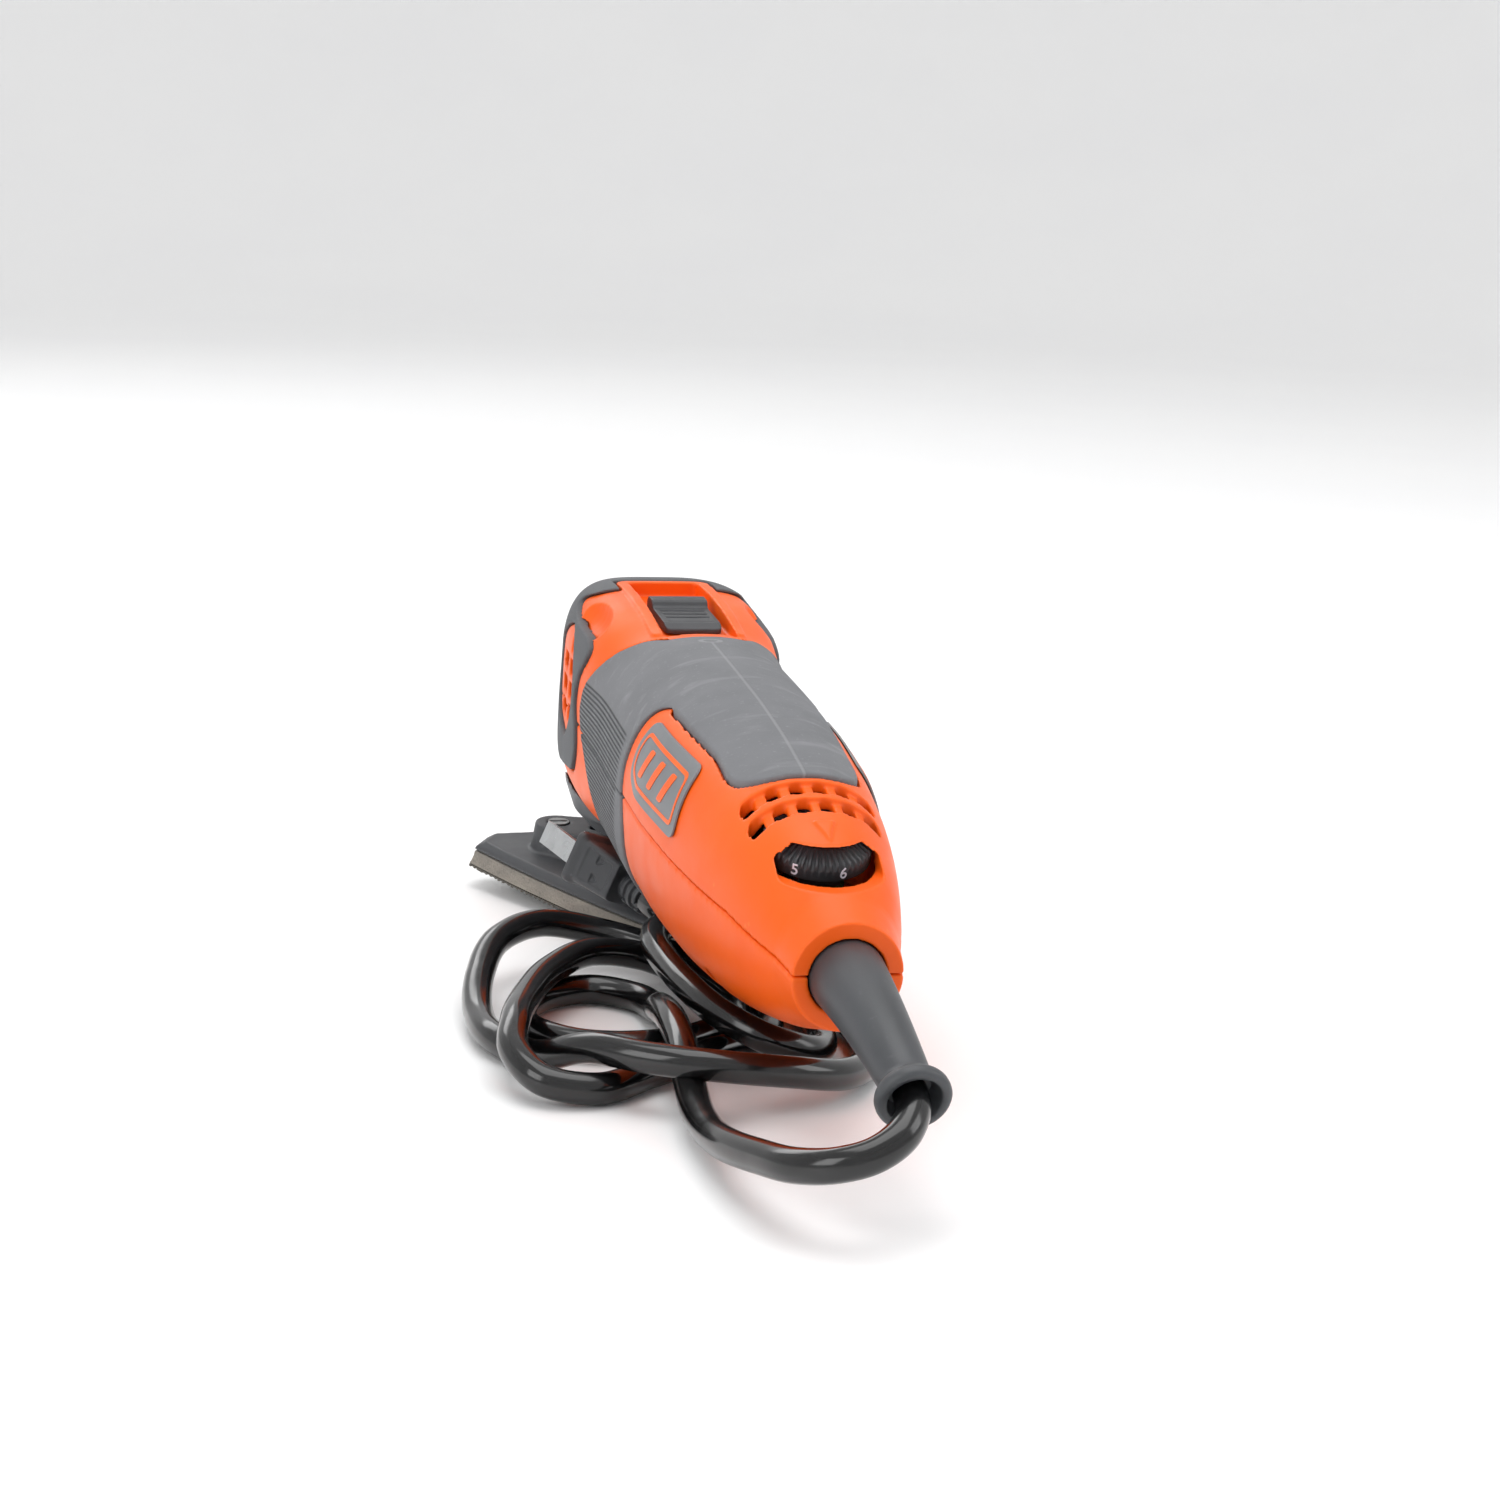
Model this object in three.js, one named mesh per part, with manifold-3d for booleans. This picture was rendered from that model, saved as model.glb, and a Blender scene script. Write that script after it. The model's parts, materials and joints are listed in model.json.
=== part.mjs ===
// Oscillating multi tool with its delta sanding pad, its mains lead folded under the tail and its plug.
// Millimetres, +Z up. The tool stands on the rear corner of the pad with its nose a little raised;
// inside the tool group X is across, +Y runs forward along the motor axis and Z follows the spindle.
import * as THREE from 'three';
import { mergeVertices } from 'three/addons/utils/BufferGeometryUtils.js';
import Module from 'manifold-3d';

const wasm = await Module();
wasm.setup();

// ---- Driving dimensions ----------------------------------------------------
const NOSE_TILT = THREE.MathUtils.degToRad(4.5); // nose up, against the floor
const AXIS_HEIGHT = 54.08; // motor axis above the floor, at the spindle
const SPINDLE_Y = 99.1; // spindle axis, from the middle of the whole tool
const GAP = 0.3; // clearance between neighbouring pieces
const WALL = 3; // housing wall
const ROUND = 20; // facets of a full circle

// Cross-sections of the housing: place along the axis, half width, top, bottom, squareness.
const SECTIONS = [
  { y: 38, half: 14, top: 22, bottom: -9, square: 2.8 },
  { y: 34, half: 18.4, top: 28.5, bottom: -15, square: 3.3 },
  { y: 27, half: 22.6, top: 33.4, bottom: -19, square: 3.8 },
  { y: 19, half: 25.2, top: 35.2, bottom: -20.4, square: 4 },
  { y: 8, half: 26.8, top: 36.4, bottom: -21.8, square: 4 },
  { y: -8, half: 27.2, top: 36.8, bottom: -22.5, square: 3.7 },
  { y: -22, half: 27.2, top: 36.4, bottom: -24, square: 3.1 },
  { y: -34, half: 26.8, top: 35.8, bottom: -26, square: 2.6 },
  { y: -46, half: 26.5, top: 35.4, bottom: -27.5, square: 2.45 },
  { y: -75, half: 27, top: 35.4, bottom: -28, square: 2.4 },
  { y: -105, half: 27, top: 34.8, bottom: -28, square: 2.4 },
  { y: -130, half: 25.4, top: 33.2, bottom: -27, square: 2.4 },
  { y: -150, half: 23, top: 30.6, bottom: -25, square: 2.35 },
  { y: -165, half: 20.3, top: 27.2, bottom: -22.3, square: 2.3 },
  { y: -178, half: 17, top: 21.8, bottom: -19, square: 2.2 },
  { y: -187, half: 14, top: 15.4, bottom: -15.6, square: 2.1 },
  { y: -196, half: 12.3, top: 12.3, bottom: -12.3, square: 2 },
];
const NOSE_END = SECTIONS[0].y;
const TAIL_END = SECTIONS[SECTIONS.length - 1].y;
const PARTING = [[60, 4], [-165, 4], [-200, 0], [-260, 0]]; // y, z of the seam between the shells

const GRIP = { proud: 0.7, depth: 1.4, rear: -84, tongueRear: -150 };
const BUMPER = { proud: 0.9, depth: 1.3 };
const LEAF = { y: -1, z: 12, length: 31, width: 30.9, frontShare: 0.68 }; // side opening of the bumper
const POCKET = { half: 9.8, rear: -42, front: 10, floor: 32.5 };
const SLIDER = { half: 7.6, rear: -33, front: -5.5, top: 36.6, travel: 7 };
const DIAL = { y: -164.6, z: 19.2, radius: 12.2, thick: 5.2, lean: 0.2 };

const SPINDLE = { radius: 6, top: 20, flangeRadius: 12, flangeTop: -31, flangeBottom: -34 };
const LOWER_BEARING = { radius: 13, top: -20, bottom: -27, bore: 6.3 };
const UPPER_BEARING = { radius: 8, top: 19.5, bottom: 13.5, bore: 4.3 };
const ECCENTRIC = { offset: 0.6, radius: 5, front: -21, rear: -27, pinRadius: 2 };
const SHAFT = { radius: 3.5, rear: -142 };
const ROTOR = { radius: 11.5, front: -64, rear: -100 };
const STATOR = { outer: 20, inner: 12.6, flat: 17.5 };
const COMMUTATOR = { radius: 8, front: -106, rear: -118 };
const FAN = { radius: 18, front: -46, rear: -56, blades: 11 };
const CLAMP = {
  rodRadius: 2.2, headRadius: 9, headTop: -44.6, headBottom: -46.6,
  capRadius: 5.4, capBottom: 27.2, capTop: 29.4,
};

const LEVER = { y: 43, z: 23.5, hub: 3.4, half: 12, pin: 1.4, reach: 40 };
const ROCKER = { y: 18, z: 27, half: 3.2 };

const PAD = {
  turn: 60, tip: 53, clip: 0.085, fullness: 1.8,
  plateTop: -42, plateEdge: -44.6, foamTop: -45.2, foamBottom: -49,
};
const HOOK_BOTTOM = -50;
const BOSS = { top: -34.3, reach: 29, endRadius: 6.5, hubRadius: 14 };

const LEAD = 7.3; // diameter of the mains lead
const LEAD_SIDES = 8;
const LEAD_STEPS = 80;
const SLEEVE = {
  root: -191, end: -242, rootRadius: 8.4, tipRadius: 5.4, flangeRadius: 7.9, mouth: 5.7,
  droop: 8.5, drift: 2,
};
const PLUG = {
  backU: 6.2, backV: 5.4, faceU: 9.4, faceV: 7.2, length: 17, lip: 2, relief: 4.3, reliefLength: 9,
};
const BLADE = { width: 6.3, thick: 1.5, length: 17, spacing: 12.7, depth: 4 };

// The lead's middle line, standing on the floor at z = half a lead: out of the sleeve, under the tail,
// and back and forth in three loose folds to the plug. Each row is x, y, z.
const LEAD_ROUTE = [
  [1.7, -137.9, 28], [0.8, -143.6, 25.6], [-3, -149, 22.6], [-9, -151, 19.6], [-15.8, -149, 17.2],
  [-22, -142, 14.8], [-26, -129, 12], [-28.8, -114, 9], [-29.3, -98, 6.4], [-28.6, -83, 5.9],
  [-27.2, -69, 7.6], [-25.8, -54, 11], [-25, -38, 12], [-24, -22, 9.5], [-22, -8, 5], [-24, 4, 3.9],
  [-34, 12, 3.9], [-46, 8, 3.9], [-54, -4, 3.9], [-54, -19, 3.9], [-45, -30, 3.9],
  [-31, -33, 3.9], [-16, -28, 3.9], [-5, -16, 3.9], [-2, -2, 3.9], [-7, 13, 5.5],
  [-19, 22, 9], [-33, 19, 11.5], [-46, 4, 11.6], [-55, -16, 11.6], [-61, -36, 11.6],
  [-63, -49, 9], [-58, -60, 5.6], [-46, -62, 3.9], [-32, -52, 3.9], [-16, -40, 3.9],
  [-1, -29, 3.9], [5, -13, 3.9], [5, 4, 3.9], [-1, 19, 4.5], [-12, 32, 7.3],
  [-26, 41, 10], [-42, 41, 13], [-55, 30, 12], [-62, 13, 8], [-65, -6, 4.3],
  [-64, -24, 4.2], [-57, -39, 4.5], [-47, -55, 11.2], [-36, -67, 12.4], [-22, -74, 12.4],
  [-6, -74, 10.5], [8, -67, 7], [18, -53, 4.4], [23, -35, 3.9], [23, -15, 4.4],
  [20, 4, 8.8], [14, 18, 12.8], [5, 27, 14.9], [-6, 29.5, 15.9], [-15, 23, 16.1],
  [-19, 10, 16.1], [-19, -6, 15.4], [-17, -23, 14.3], [-13, -37, 12.5], [-5, -47, 9.8],
  [5, -47, 6.3], [11.5, -38, 3.9], [14.5, -24, 3.9], [15, -8, 3.9], [14.5, 8, 3.9],
  [12, 22, 4.9], [6, 32, 8.2], [-4, 37.2, 13], [-11, 40.3, 16], [-13.3, 45.9, 17],
];

const INK = {
  orange: [0xf2561d, 0.42, 0], grip: [0x55575a, 0.85, 0], bumper: [0x4a4c50, 0.7, 0],
  dark: [0x2b2c2e, 0.55, 0], black: [0x0c0c0d, 0.25, 0], steel: [0xb9bcc0, 0.35, 0.9],
  zinc: [0x9b9da0, 0.45, 0.8], copper: [0xb4693a, 0.4, 0.9], brass: [0xc9a44e, 0.35, 0.9],
  carbon: [0x202020, 0.8, 0], lamination: [0x6c6f73, 0.5, 0.7], board: [0x1f5a37, 0.6, 0],
  badge: [0x8d8f93, 0.4, 0.1], foam: [0x6d675f, 0.95, 0], hook: [0x3b3834, 0.95, 0],
};

// ---- Helpers ---------------------------------------------------------------
function toSolid(geometry) {
  const flat = geometry.index ? geometry.toNonIndexed() : geometry;
  const bare = new THREE.BufferGeometry();
  bare.setAttribute('position', flat.getAttribute('position').clone());
  const merged = mergeVertices(bare, 1e-4);
  const vertProperties = new Float32Array(merged.getAttribute('position').array);
  const corners = Array.from(merged.index.array);
  const kept = [];
  let sixVolumes = 0;
  const vertex = (i) => new THREE.Vector3().fromArray(vertProperties, 3 * i);
  for (let i = 0; i < corners.length; i += 3) {
    const [a, b, c] = corners.slice(i, i + 3);
    if (a === b || b === c || c === a) continue;
    kept.push([a, b, c]);
    sixVolumes += vertex(a).dot(vertex(b).cross(vertex(c)));
  }
  const outward = sixVolumes > 0 ? kept : kept.map(([a, b, c]) => [a, c, b]);
  const triVerts = new Uint32Array(outward.flat());
  return new wasm.Manifold(new wasm.Mesh({ numProp: 3, vertProperties, triVerts }));
}

function toGeometry(solid) {
  const mesh = solid.getMesh();
  const geometry = new THREE.BufferGeometry();
  geometry.setAttribute('position', new THREE.BufferAttribute(new Float32Array(mesh.vertProperties), 3));
  geometry.setIndex(new THREE.BufferAttribute(new Uint32Array(mesh.triVerts), 1));
  const shaded = geometry.toNonIndexed();
  shaded.computeVertexNormals();
  return shaded;
}

const join = (...solids) => solids.reduce((sum, solid) => sum.add(solid));
const cut = (solid, ...tools) => tools.reduce((rest, tool) => rest.subtract(tool), solid);
const vec = (x, y, z) => new THREE.Vector3(x, y, z);

function block(x, y, z) {
  const size = [x, y, z].map(([low, high]) => high - low);
  const middle = [x, y, z].map(([low, high]) => (low + high) / 2);
  return toSolid(new THREE.BoxGeometry(...size).translate(...middle));
}

// A solid of revolution. The profile is [radius, place along the axis]; the axis is Y or Z.
function turned(profile, axis = 'y', facets = ROUND) {
  const points = profile.map(([radius, along]) => new THREE.Vector2(radius, along));
  const geometry = new THREE.LatheGeometry(points, facets);
  return toSolid(axis === 'z' ? geometry.rotateX(Math.PI / 2) : geometry);
}

function rod(radius, low, high, axis = 'y', facets = ROUND) {
  return turned([[0, low], [radius, low], [radius, high], [0, high]], axis, facets);
}

function ring(inner, outer, low, high, axis = 'y', facets = ROUND) {
  return turned([[inner, low], [outer, low], [outer, high], [inner, high], [inner, low]], axis, facets);
}

function moved(solid, x, y, z) {
  return toSolid(toGeometry(solid).translate(x, y, z));
}

// An outline in X and Y, raised from z low to z high.
function raised(outline, low, high) {
  const shape = new THREE.Shape(outline.map(([x, y]) => new THREE.Vector2(x, y)));
  const geometry = new THREE.ExtrudeGeometry(shape, { depth: high - low, bevelEnabled: false, steps: 1 });
  return toSolid(geometry.translate(0, 0, low));
}

// An outline in Y and Z, carried across from x low to x high.
function across(outline, low, high) {
  const shape = new THREE.Shape(outline.map(([y, z]) => new THREE.Vector2(y, z)));
  const geometry = new THREE.ExtrudeGeometry(shape, { depth: high - low, bevelEnabled: false, steps: 1 });
  const turn = new THREE.Matrix4().makeBasis(vec(0, 1, 0), vec(0, 0, 1), vec(1, 0, 0));
  return toSolid(geometry.applyMatrix4(turn).translate(low, 0, 0));
}

// A closed skin through rings of equal point counts, with a flat fan at each end.
function skin(rings) {
  const count = rings[0].length;
  const positions = [];
  const triangle = (a, b, c) => positions.push(...a.toArray(), ...b.toArray(), ...c.toArray());
  for (let i = 0; i + 1 < rings.length; i += 1) {
    for (let j = 0; j < count; j += 1) {
      const k = (j + 1) % count;
      triangle(rings[i][j], rings[i][k], rings[i + 1][k]);
      triangle(rings[i][j], rings[i + 1][k], rings[i + 1][j]);
    }
  }
  for (const [end, flip] of [[rings[0], true], [rings[rings.length - 1], false]]) {
    const middle = end.reduce((sum, point) => sum.add(point), vec(0, 0, 0)).divideScalar(count);
    for (let j = 0; j < count; j += 1) {
      const k = (j + 1) % count;
      if (flip) triangle(middle, end[k], end[j]);
      else triangle(middle, end[j], end[k]);
    }
  }
  const geometry = new THREE.BufferGeometry();
  geometry.setAttribute('position', new THREE.Float32BufferAttribute(positions, 3));
  return toSolid(geometry);
}

// ---- The housing's outer form ----------------------------------------------
function sectionAt(y) {
  const next = Math.max(1, SECTIONS.findIndex((section) => section.y <= y));
  const a = SECTIONS[next - 1];
  const b = SECTIONS[next];
  const t = THREE.MathUtils.clamp((y - a.y) / (b.y - a.y), 0, 1);
  const mix = (key) => THREE.MathUtils.lerp(a[key], b[key], t);
  return { half: mix('half'), top: mix('top'), bottom: mix('bottom'), square: mix('square') };
}

function sectionRing(y, offset, count) {
  const { half, top, bottom, square } = sectionAt(y);
  const power = 2 / square;
  const points = [];
  for (let i = 0; i < count; i += 1) {
    const angle = (2 * Math.PI * (i + 0.5)) / count;
    const c = Math.cos(angle);
    const s = Math.sin(angle);
    const height = s > 0 ? top + offset : -bottom + offset;
    const x = (half + offset) * Math.sign(c) * Math.abs(c) ** power;
    points.push(vec(x, y, height * Math.sign(s) * Math.abs(s) ** power));
  }
  return points;
}

// The housing's form between two places along the axis, grown outward by the offset.
function form(offset, front = NOSE_END, rear = TAIL_END, count = 28) {
  const places = SECTIONS.map((section) => section.y).filter((y) => y < front - 1 && y > rear + 1);
  return skin([front, ...places, rear].map((y) => sectionRing(y, offset, count)));
}

function seamSide(above, gap) {
  const edge = PARTING.map(([y, z]) => [y, z + (above ? gap / 2 : -gap / 2)]);
  const far = above ? 80 : -80;
  return across([...edge, [PARTING[PARTING.length - 1][0], far], [PARTING[0][0], far]], -80, 80);
}

// The grip's area: a band round the waist with a tongue back along the top.
function gripArea(grow) {
  const band = across([
    [-48 + grow, 60], [-48 + grow, 35], [-41.5 + grow, 33.6], [-38 + grow, 31], [-34.5 + grow, 27.8],
    [-30.5 + grow, 23], [-25.5 + grow, 17.8], [-22.4 + grow, 12.6], [-22.6 + grow, 7.5],
    [-26.6 + grow, 1.8], [-34 + grow, -4], [-42 + grow, -14], [-46 + grow, -60],
    [GRIP.rear - grow, -60], [GRIP.rear - grow, -4],
    [-80.6 - grow, 3], [-78.4 - grow, 9], [-79.8 - grow, 17], [-81.4 - grow, 23], [-83.6 - grow, 26.2],
    [-86.5 - grow, 28], [-91 - grow, 29.4], [-97 - grow, 30.5], [-97 - grow, 60],
  ], -60, 60);
  const tongue = raised([
    [-17.9 - grow, -90], [-17.1 - grow, -108], [-15.2 - grow, -131], [-15.2 - grow, -141],
    [-13.6 - grow, -146.4 - grow], [-9, GRIP.tongueRear - grow], [9, GRIP.tongueRear - grow],
    [13.6 + grow, -146.4 - grow], [15.2 + grow, -141], [15.2 + grow, -131],
    [17.1 + grow, -108], [17.9 + grow, -90],
  ], 12, 60);
  return join(band, tongue);
}

// The bumper's area: the nose in front of a line that steps forward over the shoulders.
function bumperArea(grow) {
  return across([
    [60, -13 - grow], [60, 60], [1 - grow, 60], [1 - grow, 35.6], [6 - grow, 33.6],
    [7.4 - grow, 31.8], [2 - grow, 30], [-8 - grow, 28.6], [-18 - grow, 28.2], [-22.3 - grow, 25.6],
    [-21.5 - grow, 22.6], [-18 - grow, 18.8], [-15.2 - grow, 14], [-14.3 - grow, 8], [-17 - grow, 3],
    [-18.5 - grow, -3 - grow], [-15 - grow, -10 - grow], [6, -13 - grow],
  ], -60, 60);
}

// The leaf-shaped opening in the bumper's flank.
function leafArea(grow) {
  const half = LEAF.length / 2 + grow;
  const outline = [];
  for (let i = 0; i < 12; i += 1) {
    const t = i / 12;
    const angle = 2 * Math.PI * t;
    const bulge = LEAF.width * (Math.cos(angle) > 0 ? LEAF.frontShare : 1 - LEAF.frontShare);
    outline.push([LEAF.y + (bulge + grow) * Math.cos(angle), LEAF.z + half * Math.sin(angle)]);
  }
  return across(outline, -60, 60);
}

// ---- Housing shells, grip and bumper ---------------------------------------
function boreHoles() {
  const spindleHole = rod(16.2, -60, -8, 'z');
  const sleeveHole = rod(SLEEVE.rootRadius + GAP, TAIL_END - 5, TAIL_END + 12);
  const frontSlot = block([-5, 5], [20, 60], [19, 33]);
  return join(spindleHole, sleeveHole, frontSlot);
}

function topVents() {
  const windows = [];
  for (const [y, length, pitch] of [[-154.7, 4.8, 5.35], [-161.9, 4.8, 5.2]]) {
    for (let i = -2.5; i <= 2.5; i += 1) {
      const x = i * pitch;
      windows.push(block([x - 1.5, x + 1.5], [y - length / 2, y + length / 2], [15, 60]));
    }
  }
  return join(...windows);
}

function sideVents() {
  const windows = [];
  for (const z of [3, 9.4, 15.8, 22.2]) {
    windows.push(block([-60, 60], [-8.8, -1.2], [z - 2.3, z + 2.3]));
    if (z < 20) windows.push(block([-60, 60], [1.2, 8.8], [z - 2.3, z + 2.3]));
  }
  return join(...windows);
}

// Each housing screw's x and y, and the radius of its boss.
function screwPlaces() {
  return [[-21, -92, 3.1], [21, -92, 3.1], [-15.5, -148, 3.8], [15.5, -148, 3.8]];
}

function screwHoles() {
  const holes = screwPlaces().flatMap(([x, y]) => [
    moved(rod(1.9, -60, 12, 'z', 8), x, y, 0),
    moved(rod(3.5, -60, -13.5, 'z', 12), x, y, 0),
  ]);
  return join(...holes);
}

function screwBosses() {
  const bosses = screwPlaces().map(([x, y, radius]) => moved(rod(radius, -26, 16, 'z', 10), x, y, 0));
  return join(...bosses);
}

const outer = form(0);
const cavity = form(-WALL, NOSE_END - WALL, TAIL_END + WALL + 2, 20);
const bossInside = screwBosses().intersect(form(-1, NOSE_END - 1, TAIL_END + 1, 20));
const hollowShell = join(cut(outer, cavity), bossInside);
const recessDepth = GRIP.depth + GAP;
const recessFloor = form(-recessDepth, NOSE_END - recessDepth);
const recesses = join(gripArea(GAP), bumperArea(GAP)).subtract(recessFloor);
const shell = cut(hollowShell, recesses, boreHoles(), screwHoles());

function pocketCut() {
  const well = block([-POCKET.half, POCKET.half], [POCKET.rear, POCKET.front], [POCKET.floor, 60]);
  const slot = block([-3.4, 3.4], [-31, -1], [20, 60]);
  return join(well, slot);
}

// The window that the dial shows through, cut from the rear.
function dialWindow() {
  const edge = [[-11.8, 15.6], [11.8, 15.6], [11.8, 19.4], [7.6, 22.4], [-7.6, 22.4], [-11.8, 19.4]];
  const standing = toGeometry(raised(edge, 167, 200)).rotateX(Math.PI / 2);
  return toSolid(standing);
}

// Room for the dial inside the shell, turned with the dial.
function dialRoom() {
  const [wide, half] = [DIAL.radius + 0.6, DIAL.thick / 2];
  const profile = [
    [0, -half - 0.6], [wide, -half - 0.6], [wide, 2], [wide - 4, half + 1.4], [0, half + 1.4],
  ];
  const room = turned(profile, 'z');
  return toSolid(toGeometry(room).rotateX(DIAL.lean).translate(0, DIAL.y, DIAL.z));
}

function topHousing() {
  const openings = [pocketCut(), dialWindow(), dialRoom(), topVents(), sideVents()];
  return cut(shell.intersect(seamSide(true, GAP)), ...openings);
}

function bottomHousing() {
  return cut(shell.intersect(seamSide(false, GAP)), sideVents());
}

function gripHalf(above) {
  const layer = form(GRIP.proud, NOSE_END, TAIL_END).subtract(form(-GRIP.depth));
  return layer.intersect(gripArea(0)).intersect(seamSide(above, GAP));
}

function noseBumper() {
  const front = NOSE_END + BUMPER.proud;
  const layer = form(BUMPER.proud, front).subtract(form(-BUMPER.depth, NOSE_END - BUMPER.depth));
  const pocketEdge = block([-13.5, 13.5], [-60, 13], [28, 60]);
  const slot = block([-5, 5], [20, 60], [19, 33]);
  return cut(layer.intersect(bumperArea(0)), leafArea(0), pocketEdge, slot, gripArea(GAP));
}

// A thin plain plate on the flank, standing on the housing with a hair of clearance.
function badge(side) {
  const outline = [
    [-92.5, 26.3], [-129.5, 26.3], [-131.2, 9.3], [-96, 8.7], [-88.5, 12.5], [-88, 19],
  ];
  const plate = form(0.9).subtract(form(GAP));
  const area = across(outline, side > 0 ? 2 : -60, side > 0 ? 60 : -2);
  return plate.intersect(area);
}

// ---- Switch, dial and electrics --------------------------------------------
function switchSlider() {
  const body = across([
    [SLIDER.rear, POCKET.floor + GAP], [SLIDER.rear, SLIDER.top - 2.6], [-30, SLIDER.top - 1.4],
    [-14, SLIDER.top - 1.2], [-12.6, SLIDER.top + 0.9], [-8, SLIDER.top + 0.9],
    [SLIDER.front, SLIDER.top - 1.4], [SLIDER.front, POCKET.floor + GAP],
  ], -SLIDER.half, SLIDER.half);
  const depth = [SLIDER.top - 2.2, SLIDER.top];
  const grooves = [-17, -20.5, -24].map((y) => block([-6.2, 6.2], [y - 0.8, y + 0.8], depth));
  const stem = block([-2.9, 2.9], [-22, -14], [27.4, POCKET.floor + 1]);
  return join(cut(body, ...grooves), stem);
}

function switchLinkRod() {
  const eye = block([-2.9, 2.9], [-22, -14], [25.6, 27.1]);
  const bar = block([-2.2, 2.2], [-128, -18], [25.6, 27.1]);
  const foot = block([-3.2, 3.2], [-129.6, -126.6], [19.5, 27.1]);
  return join(eye, bar, foot);
}

function switchBody() {
  const box = block([-8, 8], [-147.4, -138], [12.5, 25.8]);
  const plunger = block([-2.6, 2.6], [-138.2, -135.4], [19.2, 24]);
  return join(box, plunger);
}

function speedDial() {
  const { radius, thick } = DIAL;
  const wheel = turned([
    [2.3, -thick / 2], [radius - 0.6, -thick / 2], [radius, -thick / 2 + 0.6], [radius, 1.2],
    [radius - 4, thick / 2 + 0.8], [2.3, thick / 2 + 0.8], [2.3, -thick / 2],
  ], 'z', 36);
  const notches = [];
  for (let i = 0; i < 14; i += 1) {
    const angle = (2 * Math.PI * i) / 14;
    const notch = block([radius - 1, radius + 1], [-0.5, 0.5], [0.2, 4]);
    notches.push(toSolid(toGeometry(notch).rotateZ(angle)));
  }
  return cut(wheel, ...notches);
}

function dialPotentiometer() {
  return join(block([-5, 5], [-5, 5], [-7.6, -DIAL.thick / 2 - GAP]), rod(2, -4, 2, 'z', 16));
}

function speedBoard() {
  const plate = block([-11, 11], [-176, -149], [0.8, 2.4]);
  const chip = block([-7, 1], [-158, -151], [2.2, 6]);
  const capacitor = moved(rod(3.2, 2.2, 8.6, 'z', 16), 6.4, -154.5, 0);
  return join(plate, chip, capacitor);
}

function cordClamp() {
  const bar = block([-9, 9], [-186, -180], [3.9, 6.4]);
  return cut(bar, ...[-6.6, 6.6].map((x) => moved(rod(1.4, 0, 10, 'z', 12), x, -183, 0)));
}

function clampScrew(x) {
  return moved(join(rod(1.1, -3.6, 6.9, 'z', 12), rod(2.1, 6.7, 8.2, 'z', 12)), x, -183, 0);
}

// ---- Motor -----------------------------------------------------------------
function motorShaft() {
  const pin = rod(ECCENTRIC.pinRadius, ECCENTRIC.rear - 2, ECCENTRIC.front + 0.8, 'y', 16);
  return join(rod(SHAFT.radius, SHAFT.rear, ECCENTRIC.rear - 1, 'y', 20), moved(pin, 0, 0, ECCENTRIC.offset));
}

function eccentricBearing() {
  const race = ring(ECCENTRIC.pinRadius + GAP, ECCENTRIC.radius, ECCENTRIC.rear, ECCENTRIC.front, 'y', 24);
  return moved(race, 0, 0, ECCENTRIC.offset);
}

function coolingFan() {
  const { radius, front, rear, blades } = FAN;
  const disc = ring(SHAFT.radius + GAP, radius, front - 1.6, front, 'y', 32);
  const hub = ring(SHAFT.radius + GAP, 7, rear, front - 0.8, 'y', 20);
  const vanes = [];
  for (let i = 0; i < blades; i += 1) {
    const vane = block([6.6, radius - 0.4], [rear, front - 1.2], [-0.6, 0.6]);
    vanes.push(toSolid(toGeometry(vane).rotateY((2 * Math.PI * i) / blades)));
  }
  return join(disc, hub, ...vanes);
}

function statorCore() {
  const body = ring(STATOR.inner, STATOR.outer, ROTOR.rear, ROTOR.front, 'y', 32);
  return body.intersect(block([-STATOR.flat, STATOR.flat], [ROTOR.rear - 1, ROTOR.front + 1], [-30, 30]));
}

function windingEnd(low, high) {
  const middle = (low + high) / 2;
  return turned([[13.2, low], [16.8, low], [17.2, middle], [16.2, high], [13.6, high], [13.2, low]], 'y', 24);
}

function rotorCore() {
  const body = ring(SHAFT.radius + GAP, ROTOR.radius, ROTOR.rear, ROTOR.front, 'y', 36);
  const slots = [];
  for (let i = 0; i < 12; i += 1) {
    const slot = block([8.6, ROTOR.radius + 1], [ROTOR.rear - 1, ROTOR.front + 1], [-0.7, 0.7]);
    slots.push(toSolid(toGeometry(slot).rotateY((2 * Math.PI * i) / 12)));
  }
  return cut(body, ...slots);
}

function commutator() {
  return ring(SHAFT.radius + GAP, COMMUTATOR.radius, COMMUTATOR.rear, COMMUTATOR.front);
}

function brushHolder(side) {
  const x = side > 0 ? [9.2, 20.4] : [-20.4, -9.2];
  const bore = side > 0 ? [8, 19.4] : [-19.4, -8];
  return cut(block(x, [-116.5, -107.5], [-4.6, 4.6]), block(bore, [-114.9, -109.1], [-3, 3]));
}

function carbonBrush(side) {
  const x = side > 0 ? [COMMUTATOR.radius + GAP, 15] : [-15, -COMMUTATOR.radius - GAP];
  return block(x, [-114.6, -109.4], [-2.7, 2.7]);
}

function brushSpring(side) {
  const turns = 4;
  const steps = 10;
  const points = [];
  for (let i = 0; i <= turns * steps; i += 1) {
    const angle = (2 * Math.PI * i) / steps;
    const x = 15.8 + (i / (turns * steps)) * 2.8;
    points.push(vec(side * x, -112 + 1.8 * Math.cos(angle), 1.8 * Math.sin(angle)));
  }
  return wire(points, 0.25, 4, turns * steps);
}

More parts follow.
